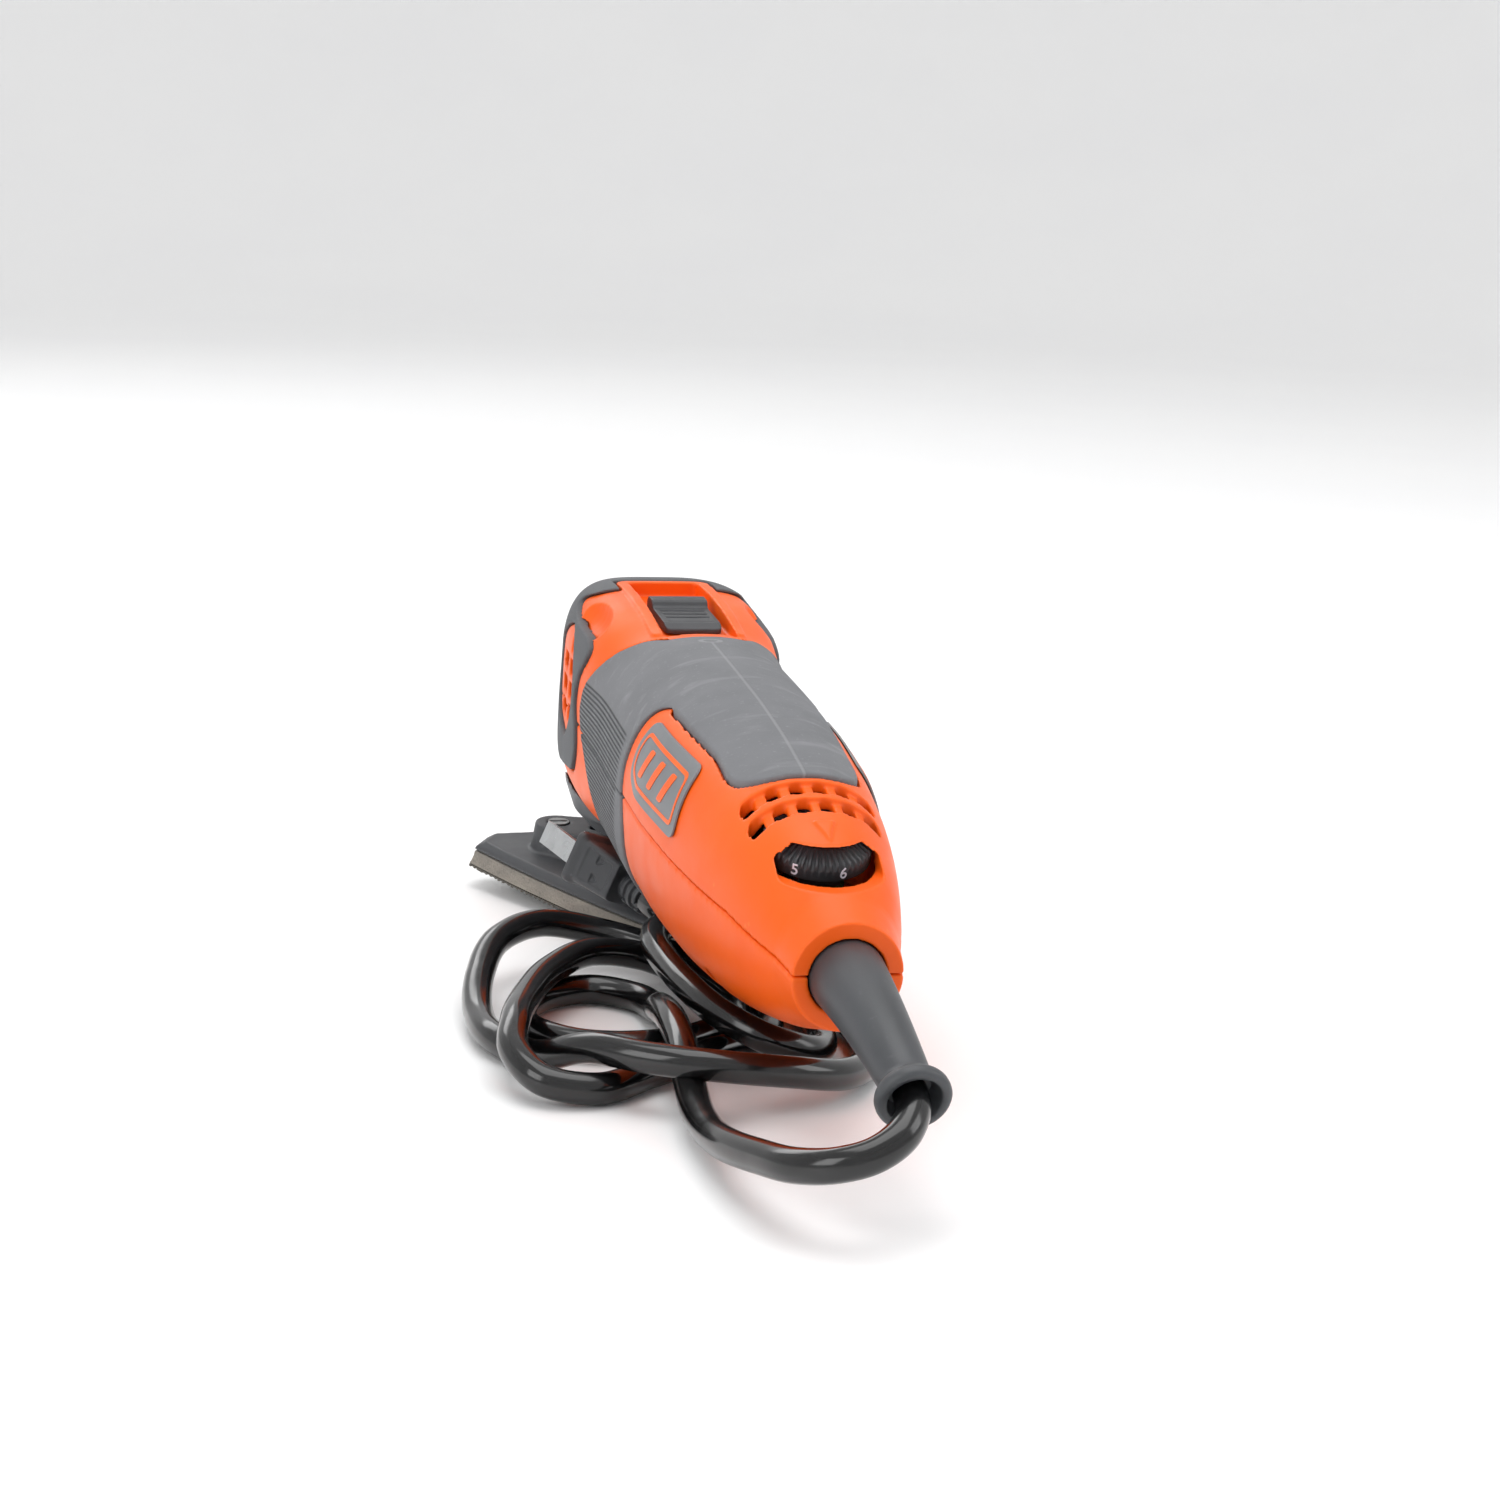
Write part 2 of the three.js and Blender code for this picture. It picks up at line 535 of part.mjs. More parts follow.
function rearBearingBracket() {
  const plate = block([-19, 19], [-141, -135], [-11.5, 11.5]);
  const windows = [-14, 14].map((x) => block([x - 2.6, x + 2.6], [-145, -130], [-8, 8]));
  return cut(plate, rod(8.3, -145, -130), ...windows);
}

// ---- Head ------------------------------------------------------------------
function gearCase() {
  const frame = across([
    [-39, -16.2], [6, -16.2], [6, -11.5], [-31, -11.5], [-31, 12.8], [22, 12.8], [22, 20.2], [-39, 20.2],
  ], -14.5, 14.5);
  const neck = rod(15.6, -28.4, -11.5, 'z');
  const posts = join(rockerPost(-1), rockerPost(1));
  const bores = [
    rod(LOWER_BEARING.radius + GAP, -40, LOWER_BEARING.top + GAP, 'z'),
    rod(8, LOWER_BEARING.top, -10, 'z', 12),
    rod(UPPER_BEARING.radius + GAP, UPPER_BEARING.bottom - GAP, 30, 'z'),
    rod(6, 8, 20, 'z'),
    rod(9.3, -45, -32.2),
    rod(6, -40, -28),
  ];
  return join(cut(join(frame, neck), ...bores), posts);
}

function spindle() {
  return turned([
    [CLAMP.rodRadius + GAP, SPINDLE.flangeBottom], [SPINDLE.flangeRadius, SPINDLE.flangeBottom],
    [SPINDLE.flangeRadius, SPINDLE.flangeTop], [SPINDLE.radius, SPINDLE.flangeTop],
    [SPINDLE.radius, 11], [4, 12.4], [4, SPINDLE.top],
    [CLAMP.rodRadius + GAP, SPINDLE.top], [CLAMP.rodRadius + GAP, SPINDLE.flangeBottom],
  ], 'z', 24);
}

function spindleBearing({ bore, radius, bottom, top }) {
  return ring(bore, radius, bottom, top, 'z');
}

function forkLever() {
  const slot = ECCENTRIC.radius + ECCENTRIC.offset * 2 + 0.4;
  const hub = rod(11, -6, 6, 'z', 24);
  const arms = [-1, 1].map((side) => {
    const x = [side * slot, side * (slot + 4)].sort((a, b) => a - b);
    return block(x, [-27.5, -4], [-4.2, 4.2]);
  });
  const bore = rod(SPINDLE.radius + GAP, -10, 10, 'z', 24);
  const throat = block([-slot, slot], [-30, -11.5], [-10, 10]);
  return cut(join(hub, ...arms), bore, throat);
}

function clampRod() {
  const { rodRadius, headRadius, headTop, headBottom, capRadius, capBottom, capTop } = CLAMP;
  return turned([
    [0, headBottom], [headRadius - 0.8, headBottom], [headRadius, headBottom + 0.8], [headRadius, headTop],
    [rodRadius, headTop], [rodRadius, capBottom], [capRadius, capBottom], [capRadius, capTop], [0, capTop],
  ], 'z', 20);
}

function clampRocker() {
  const { y, z, half } = ROCKER;
  const beam = across([
    [-3.5, z + 3.1], [-3.5, z + 4.6], [y, z + 4.4], [y + 4, z + 1], [33.5, 24.4], [34.5, 21.4], [y, z - 3],
    [10, z + 1.4], [4.5, z + 2.7],
  ], -half, half);
  return cut(beam, across(circle(y, z, 1.7), -10, 10));
}

function circle(y, z, radius, facets = 16) {
  return Array.from({ length: facets }, (_, i) => {
    const angle = (2 * Math.PI * i) / facets;
    return [y + radius * Math.cos(angle), z + radius * Math.sin(angle)];
  });
}

function rockerPin() {
  return across(circle(ROCKER.y, ROCKER.z, 1.4), -11, 11);
}

function rockerPost(side) {
  const x = side > 0 ? [ROCKER.half + GAP, ROCKER.half + 3.3] : [-ROCKER.half - 3.3, -ROCKER.half - GAP];
  const post = across([[12.9, 19], [22, 19], [21, 29.5], [15, 29.5]], ...x);
  return cut(post, across(circle(ROCKER.y, ROCKER.z, 1.7), -20, 20));
}

function leverBracket() {
  const { y, z, half } = LEVER;
  const back = NOSE_END + BUMPER.proud + GAP;
  const foot = block([-half - 2.1, half + 2.1], [back, back + 1.2], [z - 8.5, z - 4.6]);
  const ears = [-1, 1].map((side) => {
    const x = [side * (half + GAP), side * (half + 2.1)].sort((a, b) => a - b);
    return across([[back, z - 8], [y, z - 3.6], [y + 3, z], [y, z + 3.2], [back, z - 1]], ...x);
  });
  return cut(join(foot, ...ears), across(circle(y, z, LEVER.pin + GAP), -30, 30));
}

function leverPin() {
  return across(circle(LEVER.y, LEVER.z, LEVER.pin), -LEVER.half - 2, LEVER.half + 2);
}

function lockLever() {
  const { y, z, hub, half, reach } = LEVER;
  const plate = across([
    [y + hub, z], [y + 3, z - 12], [y + 2.2, z - 24], [y - 1, z - 34],
    [y - 2, z - reach + 1], [y - 3.4, z - reach],
    [y - 4.2, z - reach + 1.6], [y - 2.2, z - 30], [y + 0.2, z - 20], [y, z - 6],
  ], -half, half);
  const knuckle = across(circle(y, z, hub, 20), -half, half);
  return cut(join(plate, knuckle), across(circle(y, z, LEVER.pin + GAP), -30, 30));
}

// The cup round the neck of the gear case, open upward where the housing dips into it.
function noseCollar() {
  const cup = turned([
    [16.4, -30.6], [18.6, -30.6], [23.4, -25.5], [26, -18], [27, -9], [25.4, -8.4],
    [24.4, -17], [22, -24], [17.4, -28.4], [16.4, -28.4], [16.4, -30.6],
  ], 'z', 32);
  const housing = form(0.35, NOSE_END + GAP);
  const bumper = form(BUMPER.proud + GAP, NOSE_END + 1.2).intersect(bumperArea(GAP));
  const grip = form(GRIP.proud + GAP).intersect(gripArea(GAP));
  return cut(cup, housing, bumper, grip);
}

// ---- Sanding pad -----------------------------------------------------------
// A triangle with slightly full sides and clipped corners, one corner turned towards the front left.
function padOutline(inset) {
  const corner = (turns, clip) => {
    const angle = THREE.MathUtils.degToRad(90 + PAD.turn + turns * 120) + clip;
    return new THREE.Vector2(Math.cos(angle), Math.sin(angle)).multiplyScalar(PAD.tip - inset);
  };
  const outline = [];
  for (let side = 0; side < 3; side += 1) {
    const from = corner(side, PAD.clip);
    const to = corner(side + 1, -PAD.clip);
    const outward = from.clone().add(to).normalize();
    for (let i = 0; i <= 6; i += 1) {
      const t = i / 6;
      const point = from.clone().lerp(to, t).addScaledVector(outward, 4 * PAD.fullness * t * (1 - t));
      outline.push([point.x, point.y]);
    }
  }
  return outline;
}

function padLayer(topInset, topZ, bottomInset, bottomZ) {
  const level = (inset, z) => padOutline(inset).map(([x, y]) => vec(x, y, z));
  return skin([level(topInset, topZ), level(bottomInset, bottomZ)]);
}

function bossOutline(grow) {
  const { reach, endRadius, hubRadius } = BOSS;
  const outline = [];
  for (let i = 0; i <= 8; i += 1) {
    const angle = -Math.PI / 2 + (Math.PI * i) / 8;
    outline.push([reach + (endRadius + grow) * Math.cos(angle), (endRadius + grow) * Math.sin(angle)]);
  }
  for (let i = 0; i <= 12; i += 1) {
    const angle = Math.PI * 0.36 + (Math.PI * 1.28 * i) / 12;
    outline.push([(hubRadius + grow) * Math.cos(angle), (hubRadius + grow) * Math.sin(angle)]);
  }
  const turn = THREE.MathUtils.degToRad(90 + PAD.turn);
  const [c, s] = [Math.cos(turn), Math.sin(turn)];
  return outline.map(([x, y]) => [x * c - y * s, x * s + y * c]);
}

function padScrewPlace() {
  const turn = THREE.MathUtils.degToRad(90 + PAD.turn);
  return [BOSS.reach * Math.cos(turn), BOSS.reach * Math.sin(turn)];
}

function padPlate() {
  const slope = padLayer(4, PAD.plateTop, 0.5, PAD.plateEdge);
  const rim = padLayer(0.5, PAD.plateEdge, 0.5, PAD.foamTop + GAP);
  const plate = join(slope, rim);
  const level = (grow, z) => bossOutline(grow).map(([x, y]) => vec(x, y, z));
  const boss = skin([level(0, BOSS.top), level(1.6, PAD.plateTop - 1)]);
  const [x, y] = padScrewPlace();
  return cut(
    join(plate, boss),
    rod(CLAMP.rodRadius + GAP, -60, -30, 'z', 16),
    rod(CLAMP.headRadius + 1, -60, CLAMP.headTop + GAP, 'z', 24),
    moved(rod(1.8, -43.2, -30, 'z', 12), x, y, 0),
    moved(rod(3.3, BOSS.top - 1.6, -30, 'z', 16), x, y, 0),
  );
}

function padScrew() {
  const [x, y] = padScrewPlace();
  const shank = rod(1.5, -42.8, BOSS.top - 1, 'z', 12);
  const head = rod(3, BOSS.top - 1.3, BOSS.top + 0.3, 'z', 16);
  const slot = block([-2.4, 2.4], [-0.4, 0.4], [BOSS.top - 0.4, -30]);
  return moved(cut(join(shank, head), slot), x, y, 0);
}

function padFoam() {
  return cut(padLayer(0.5, PAD.foamTop, -0.9, PAD.foamBottom), rod(11, -60, -40, 'z', 24));
}

function hookLayer() {
  return cut(padLayer(-1, PAD.foamBottom - GAP, -1.2, HOOK_BOTTOM), rod(11, -60, -40, 'z', 24));
}

// ---- Sleeve, lead and plug -------------------------------------------------
function roundRing(middle, along, radius, facets) {
  const side = vec(1, 0, 0);
  const up = new THREE.Vector3().crossVectors(side, along).normalize();
  return Array.from({ length: facets }, (_, i) => {
    const angle = (2 * Math.PI * i) / facets;
    const point = middle.clone().addScaledVector(side, radius * Math.cos(angle));
    return point.addScaledVector(up, radius * Math.sin(angle));
  });
}

// The middle line of the sleeve, bending down a little towards its end.
function sleeveLine(t) {
  return vec(SLEEVE.drift * t * t, THREE.MathUtils.lerp(SLEEVE.root, SLEEVE.end, t), -SLEEVE.droop * t * t);
}

function cordSleeve() {
  const along = sleeveLine(1).sub(sleeveLine(0.96)).normalize();
  const rings = [];
  const { rootRadius, tipRadius, flangeRadius, mouth } = SLEEVE;
  for (const t of [0, 0.14, 0.3, 0.5, 0.7, 0.86]) {
    const tangent = sleeveLine(t + 0.02).sub(sleeveLine(t)).normalize();
    const radius = THREE.MathUtils.lerp(rootRadius, tipRadius, Math.max(0, (t - 0.1) / 0.8));
    rings.push(roundRing(sleeveLine(t), tangent, radius, 20));
  }
  const tip = sleeveLine(1);
  const back = (distance) => tip.clone().addScaledVector(along, -distance);
  const flange = [
    [4.4, tipRadius + 0.7], [3.4, flangeRadius - 0.6], [2.2, flangeRadius],
    [0.6, flangeRadius], [0, flangeRadius - 0.8],
  ];
  for (const [distance, radius] of flange) rings.push(roundRing(back(distance), along, radius, 20));
  const hollow = skin([
    roundRing(back(5), along, LEAD / 2 + 1.1, 16),
    roundRing(back(2), along, mouth - 0.3, 16),
    roundRing(back(-2), along, mouth + 0.4, 16),
  ]);
  return cut(skin(rings), hollow);
}

function wire(points, radius, sides, steps) {
  const path = new THREE.CatmullRomCurve3(points, false, 'centripetal');
  const section = new THREE.Shape();
  for (let i = 0; i < sides; i += 1) {
    const angle = (2 * Math.PI * i) / sides;
    const method = i === 0 ? 'moveTo' : 'lineTo';
    section[method](radius * Math.cos(angle), radius * Math.sin(angle));
  }
  section.closePath();
  return toSolid(new THREE.ExtrudeGeometry(section, { steps, bevelEnabled: false, extrudePath: path }));
}

// The plug's own frame: W runs from the face to the lead, U along its long side, V through it.
function plugFrame() {
  const w = vec(0.36, -0.91, -0.17).normalize();
  const tilted = vec(0.93, 0.34, -0.36);
  const u = tilted.addScaledVector(w, -tilted.dot(w)).normalize();
  const v = new THREE.Vector3().crossVectors(w, u);
  const end = vec(...LEAD_ROUTE[LEAD_ROUTE.length - 1]);
  const root = end.addScaledVector(w, -PLUG.reliefLength - GAP);
  return new THREE.Matrix4().makeBasis(u, v, w).setPosition(root);
}

function plugRing(halfU, halfV, w) {
  const corner = 0.28;
  const points = [];
  for (const [cu, cv, turn] of [[1, 1, 0], [-1, 1, 1], [-1, -1, 2], [1, -1, 3]]) {
    for (let i = 0; i <= 3; i += 1) {
      const angle = (Math.PI / 2) * (turn + i / 3);
      const round = corner * halfV;
      const u = cu * (halfU - round) + round * Math.cos(angle);
      points.push(vec(u, cv * (halfV - round) + round * Math.sin(angle), w));
    }
  }
  return points;
}

function bladeSolid(side, grow) {
  const u = (side * BLADE.spacing) / 2;
  const low = -PLUG.length - BLADE.length;
  return block(
    [u - BLADE.thick / 2 - grow, u + BLADE.thick / 2 + grow],
    [-BLADE.width / 2 - grow, BLADE.width / 2 + grow],
    [low - grow, -PLUG.length + BLADE.depth + grow],
  );
}

function plugBody() {
  const { backU, backV, faceU, faceV, length, lip, relief, reliefLength } = PLUG;
  const body = skin([
    plugRing(backU, backV, 0), plugRing(faceU - 1, faceV - 1, -length + lip + 1.2),
    plugRing(faceU, faceV, -length + lip), plugRing(faceU, faceV, -length),
  ]);
  const rings = [0, 1, 2].map((i) => rod(relief, i * 2.9 + 1.5, i * 2.9 + 3.2, 'z', 16));
  const profile = [[0, -1], [relief - 0.7, -1], [relief - 0.9, reliefLength], [0, reliefLength]];
  const core = turned(profile, 'z', 16);
  return cut(join(body, core, ...rings), bladeSolid(-1, GAP), bladeSolid(1, GAP));
}

function lead() {
  return wire(LEAD_ROUTE.map(([x, y, z]) => vec(x, y, z)), LEAD / 2, LEAD_SIDES, LEAD_STEPS);
}

// ---- Assembly --------------------------------------------------------------
const assembly = new THREE.Group();
const tool = new THREE.Group();
tool.rotation.x = NOSE_TILT;
tool.position.set(0, SPINDLE_Y, AXIS_HEIGHT);
assembly.add(tool);

function place(parent, name, ink, solid) {
  const [color, roughness, metalness] = INK[ink];
  const material = new THREE.MeshStandardMaterial({ color, roughness, metalness });
  const mesh = new THREE.Mesh(toGeometry(solid), material);
  mesh.name = name;
  parent.add(mesh);
  return mesh;
}

place(tool, 'top_housing', 'orange', topHousing());
place(tool, 'bottom_housing', 'orange', bottomHousing());
place(tool, 'top_grip', 'grip', gripHalf(true));
place(tool, 'bottom_grip', 'grip', gripHalf(false));
place(tool, 'nose_bumper', 'bumper', noseBumper());
place(tool, 'nose_collar', 'bumper', noseCollar());
place(tool, 'badge_left', 'badge', badge(-1));
place(tool, 'badge_right', 'badge', badge(1));

place(tool, 'switch_slider', 'dark', switchSlider());
place(tool, 'switch_link_rod', 'dark', switchLinkRod());
place(tool, 'switch_body', 'black', switchBody());
place(tool, 'speed_board', 'board', speedBoard());
const dialPieces = [
  ['speed_dial', 'black', speedDial()],
  ['dial_potentiometer', 'dark', dialPotentiometer()],
];
for (const [name, ink, solid] of dialPieces) {
  const piece = place(tool, name, ink, solid);
  piece.position.set(0, DIAL.y, DIAL.z);
  piece.rotation.x = DIAL.lean;
}
place(tool, 'cord_clamp', 'dark', cordClamp());
place(tool, 'cord_clamp_screw_left', 'steel', clampScrew(-6.6));
place(tool, 'cord_clamp_screw_right', 'steel', clampScrew(6.6));

place(tool, 'motor_shaft', 'steel', motorShaft());
place(tool, 'eccentric_bearing', 'steel', eccentricBearing());
place(tool, 'front_motor_bearing', 'steel', ring(SHAFT.radius + GAP, 9, -38.6, -32.6));
place(tool, 'rear_motor_bearing', 'steel', ring(SHAFT.radius + GAP, 8, -140.6, -135.4));
place(tool, 'rear_bearing_bracket', 'dark', rearBearingBracket());
place(tool, 'cooling_fan', 'dark', coolingFan());
place(tool, 'rotor_core', 'lamination', rotorCore());
place(tool, 'commutator', 'copper', commutator());
place(tool, 'stator_core', 'lamination', statorCore());
place(tool, 'field_winding_front', 'copper', windingEnd(ROTOR.front + GAP, -58));
place(tool, 'field_winding_rear', 'copper', windingEnd(ROTOR.rear - GAP, -105.6));
for (const [side, label] of [[-1, 'left'], [1, 'right']]) {
  place(tool, `brush_holder_${label}`, 'brass', brushHolder(side));
  place(tool, `carbon_brush_${label}`, 'carbon', carbonBrush(side));
  place(tool, `brush_spring_${label}`, 'steel', brushSpring(side));
}

place(tool, 'gear_case', 'zinc', gearCase());
place(tool, 'spindle_lower_bearing', 'steel', spindleBearing(LOWER_BEARING));
place(tool, 'spindle_upper_bearing', 'steel', spindleBearing(UPPER_BEARING));
place(tool, 'spindle', 'steel', spindle());
place(tool, 'fork_lever', 'zinc', forkLever());
place(tool, 'clamp_rod', 'steel', clampRod());
place(tool, 'disc_spring_stack', 'steel', ring(CLAMP.rodRadius + GAP, 5.6, SPINDLE.top + GAP, 24.2, 'z', 20));
place(tool, 'clamp_rocker', 'steel', clampRocker());
place(tool, 'rocker_pin', 'steel', rockerPin());
place(tool, 'lever_bracket', 'steel', leverBracket());
place(tool, 'lever_pin', 'steel', leverPin());
place(tool, 'lock_lever', 'bumper', lockLever());

place(tool, 'pad_plate', 'dark', padPlate());
place(tool, 'pad_foam', 'foam', padFoam());
place(tool, 'pad_hook_layer', 'hook', hookLayer());
place(tool, 'pad_screw', 'steel', padScrew());
place(tool, 'cord_sleeve', 'dark', cordSleeve());
screwPlaces().forEach(([x, y], index) => {
  const shank = rod(1.5, -13.9, 11.4, 'z', 8);
  const head = rod(3, -15.7, -13.8, 'z', 12);
  place(tool, `housing_screw_${index + 1}`, 'steel', moved(join(shank, head), x, y, 0));
});

place(assembly, 'cord', 'black', lead());
const plug = new THREE.Group();
plug.applyMatrix4(plugFrame());
assembly.add(plug);
place(plug, 'plug_body', 'black', plugBody());
place(plug, 'plug_blade_left', 'steel', bladeSolid(-1, 0));
place(plug, 'plug_blade_right', 'steel', bladeSolid(1, 0));

export default assembly;
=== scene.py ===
import json
import math
import random

import bmesh
import bpy
from mathutils import Matrix, Vector


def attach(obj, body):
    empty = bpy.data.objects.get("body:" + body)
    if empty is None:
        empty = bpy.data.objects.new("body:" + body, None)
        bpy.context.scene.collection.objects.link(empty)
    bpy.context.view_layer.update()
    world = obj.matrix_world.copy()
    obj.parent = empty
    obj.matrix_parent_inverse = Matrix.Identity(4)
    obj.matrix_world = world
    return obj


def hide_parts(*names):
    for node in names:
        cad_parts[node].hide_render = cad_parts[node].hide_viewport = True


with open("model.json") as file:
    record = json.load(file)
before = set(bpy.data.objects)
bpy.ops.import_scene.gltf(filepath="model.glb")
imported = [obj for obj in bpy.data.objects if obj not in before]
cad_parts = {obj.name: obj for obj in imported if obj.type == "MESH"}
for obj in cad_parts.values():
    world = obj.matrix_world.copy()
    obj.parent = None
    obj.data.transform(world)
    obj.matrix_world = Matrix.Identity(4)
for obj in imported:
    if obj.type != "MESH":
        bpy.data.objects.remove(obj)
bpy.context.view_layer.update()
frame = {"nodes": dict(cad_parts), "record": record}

NODES = frame["nodes"]
SCENE = bpy.context.scene
MM = 0.001
VOXEL = 0.55  # mm, the facet size a moulded piece is rebuilt at when it has no finer one of its own

# The tool's own frame, in millimetres: X across, Y forward along the motor axis, Z along the spindle.
TILT = math.radians(4.5)
TOOL = Matrix.Translation((0, 0.0991, 0.05408)) @ Matrix.Rotation(TILT, 4, "X") @ Matrix.Scale(MM, 4)
WORLD = Matrix.Scale(MM, 4)

# The soft boxes in the row frame, in metres: place, size and power in watts.
LIGHTS = {
    "overhead": ((0, 0.1, 1.5), (1.2, 1.2), 10),
    "left": ((-1.3, -0.6, 0.8), (0.8, 0.9), 6.5),
    "right": ((1.3, -0.4, 0.9), (0.7, 0.9), 4.5),
    "far_side": ((-0.4, 1.6, 1.0), (1.0, 0.5), 4),
}
LIT_POINT = (0, 0, 0.05)
SKY_STRENGTH = 0.78

# Where the camera stands in the tool's frame: degrees, millimetres, and the lens for a 36 mm sensor.
CAMERA = {
    "azimuth": -14.4, "elevation": 16.4, "roll": 3.8, "target": (0, -100, 0), "shift": (1.3, 20.5),
    "distance": 680, "lens": 66.96,
}

# Cross-sections of the housing: place along the axis, half width, top, bottom, squareness.
SECTIONS = [
    (-196, 12.3, 12.3, -12.3, 2), (-187, 14, 15.4, -15.6, 2.1), (-178, 17, 21.8, -19, 2.2),
    (-165, 20.3, 27.2, -22.3, 2.3), (-150, 23, 30.6, -25, 2.35), (-130, 25.4, 33.2, -27, 2.4),
    (-105, 27, 34.8, -28, 2.4), (-75, 27, 35.4, -28, 2.4), (-46, 26.5, 35.4, -27.5, 2.45),
    (-34, 26.8, 35.8, -26, 2.6), (-22, 27.2, 36.4, -24, 3.8), (-8, 27.2, 36.8, -22.5, 4.6),
    (8, 26.8, 36.4, -21.8, 4.6), (19, 25.2, 35.2, -20.4, 4.3), (27, 22.6, 33.4, -19, 3.8),
    (34, 18.4, 28.5, -15, 3.3), (38, 14, 22, -9, 2.8),
]
TAIL, NOSE = SECTIONS[0][0], SECTIONS[-1][0]
FORM_FACETS, FORM_STEP = 112, 1.6
PARTING = [(60, 4), (-165, 4), (-200, 0), (-260, 0)]
GAP = 0.3
WALL = 3
SPINDLE_CUP = [
    (16.4, -30.6), (18.6, -30.6), (23.4, -25.5), (26, -18), (27, -9),
    (25.4, -8.4), (24.4, -17), (22, -24), (17.4, -28.4), (16.4, -28.4),
]
# How far the soft skins stand proud of the housing and reach into it, and the gap round them.
GRIP = {"proud": 0.7, "depth": 1.4, "gap": 0.45}
BUMPER = {"proud": 0.9, "depth": 1.3, "gap": 0.4}
SEAT_DEPTH = 1.7
LEAF = {"y": -1, "z": 12, "front": 21, "rear": 9.9, "half": 15.5}
RIDGE_PITCH = 1.2
# The top vents' rows: place along the axis, length and pitch of the windows.
TOP_VENTS = [(-154.7, 4.8, 5.35), (-161.9, 4.8, 5.2)]
DIAL = {"y": -164.6, "z": 19.2, "radius": 12.2, "thick": 5.2, "lean": 0.2}
DIAL_FACETS, DIAL_RIBS = 384, 48
DIGITS = {"size": 3.7, "weight": 0.035, "raised": 0.06, "last_at": 15, "pitch": 52, "drop": 0.55}
BADGE = {"plate": (0.3, 0.72), "lines": (0.5, 0.86), "border": (2.4, 3.3)}
LEVER = {"y": 43, "z": 23.5, "hub": 3.4, "half": 12, "reach": 40}
PAD = {"turn": 60, "tip": 53, "clip": 0.085, "fullness": 1.8}
BOSS = {"top": -34.3, "reach": 29, "end": 6.5, "hub": 14}
LEAD = 7.3
SLEEVE_FACETS = 72
SLEEVE = {
    "root": -191, "end": -242, "root_radius": 8.4, "tip_radius": 5.4, "flange": 7.9, "mouth": 5.7,
    "droop": 8.5, "drift": 2,
}
PLUG = {
    "back": (6.2, 5.4), "face": (9.4, 7.2), "length": 17, "lip": 2, "relief": 4.3, "relief_length": 9,
}

# The lead's middle line in metres, from the sleeve to the plug.
LEAD_ROUTE = [(x * MM, y * MM, z * MM) for x, y, z in [
    (1.7, -137.9, 28), (0.8, -143.6, 25.6), (-3, -149, 22.6), (-9, -151, 19.6), (-15.8, -149, 17.2),
    (-22, -142, 14.8), (-26, -129, 12), (-28.8, -114, 9), (-29.3, -98, 6.4), (-28.6, -83, 5.9),
    (-27.2, -69, 7.6), (-25.8, -54, 11), (-25, -38, 12), (-24, -22, 9.5), (-22, -8, 5), (-24, 4, 3.9),
    (-34, 12, 3.9), (-46, 8, 3.9), (-54, -4, 3.9), (-54, -19, 3.9), (-45, -30, 3.9),
    (-31, -33, 3.9), (-16, -28, 3.9), (-5, -16, 3.9), (-2, -2, 3.9), (-7, 13, 5.5),
    (-19, 22, 9), (-33, 19, 11.5), (-46, 4, 11.6), (-55, -16, 11.6), (-61, -36, 11.6),
    (-63, -49, 9), (-58, -60, 5.6), (-46, -62, 3.9), (-32, -52, 3.9), (-16, -40, 3.9),
    (-1, -29, 3.9), (5, -13, 3.9), (5, 4, 3.9), (-1, 19, 4.5), (-12, 32, 7.3),
    (-26, 41, 10), (-42, 41, 13), (-55, 30, 12), (-62, 13, 8), (-65, -6, 4.3),
    (-64, -24, 4.2), (-57, -39, 4.5), (-47, -55, 11.2), (-36, -67, 12.4), (-22, -74, 12.4),
    (-6, -74, 10.5), (8, -67, 7), (18, -53, 4.4), (23, -35, 3.9), (23, -15, 4.4),
    (20, 4, 8.8), (14, 18, 12.8), (5, 27, 14.9), (-6, 29.5, 15.9), (-15, 23, 16.1),
    (-19, 10, 16.1), (-19, -6, 15.4), (-17, -23, 14.3), (-13, -37, 12.5), (-5, -47, 9.8),
    (5, -47, 6.3), (11.5, -38, 3.9), (14.5, -24, 3.9), (15, -8, 3.9), (14.5, 8, 3.9),
    (12, 22, 4.9), (6, 32, 8.2), (-4, 37.2, 13), (-11, 40.3, 16), (-13.3, 45.9, 17),
]]


# ---- Materials -------------------------------------------------------------
def colour(hexadecimal):
    """A linear colour from the usual six digits."""
    parts = [int(hexadecimal[i:i + 2], 16) / 255 for i in (0, 2, 4)]
    return tuple(c / 12.92 if c <= 0.04045 else ((c + 0.055) / 1.055) ** 2.4 for c in parts) + (1,)


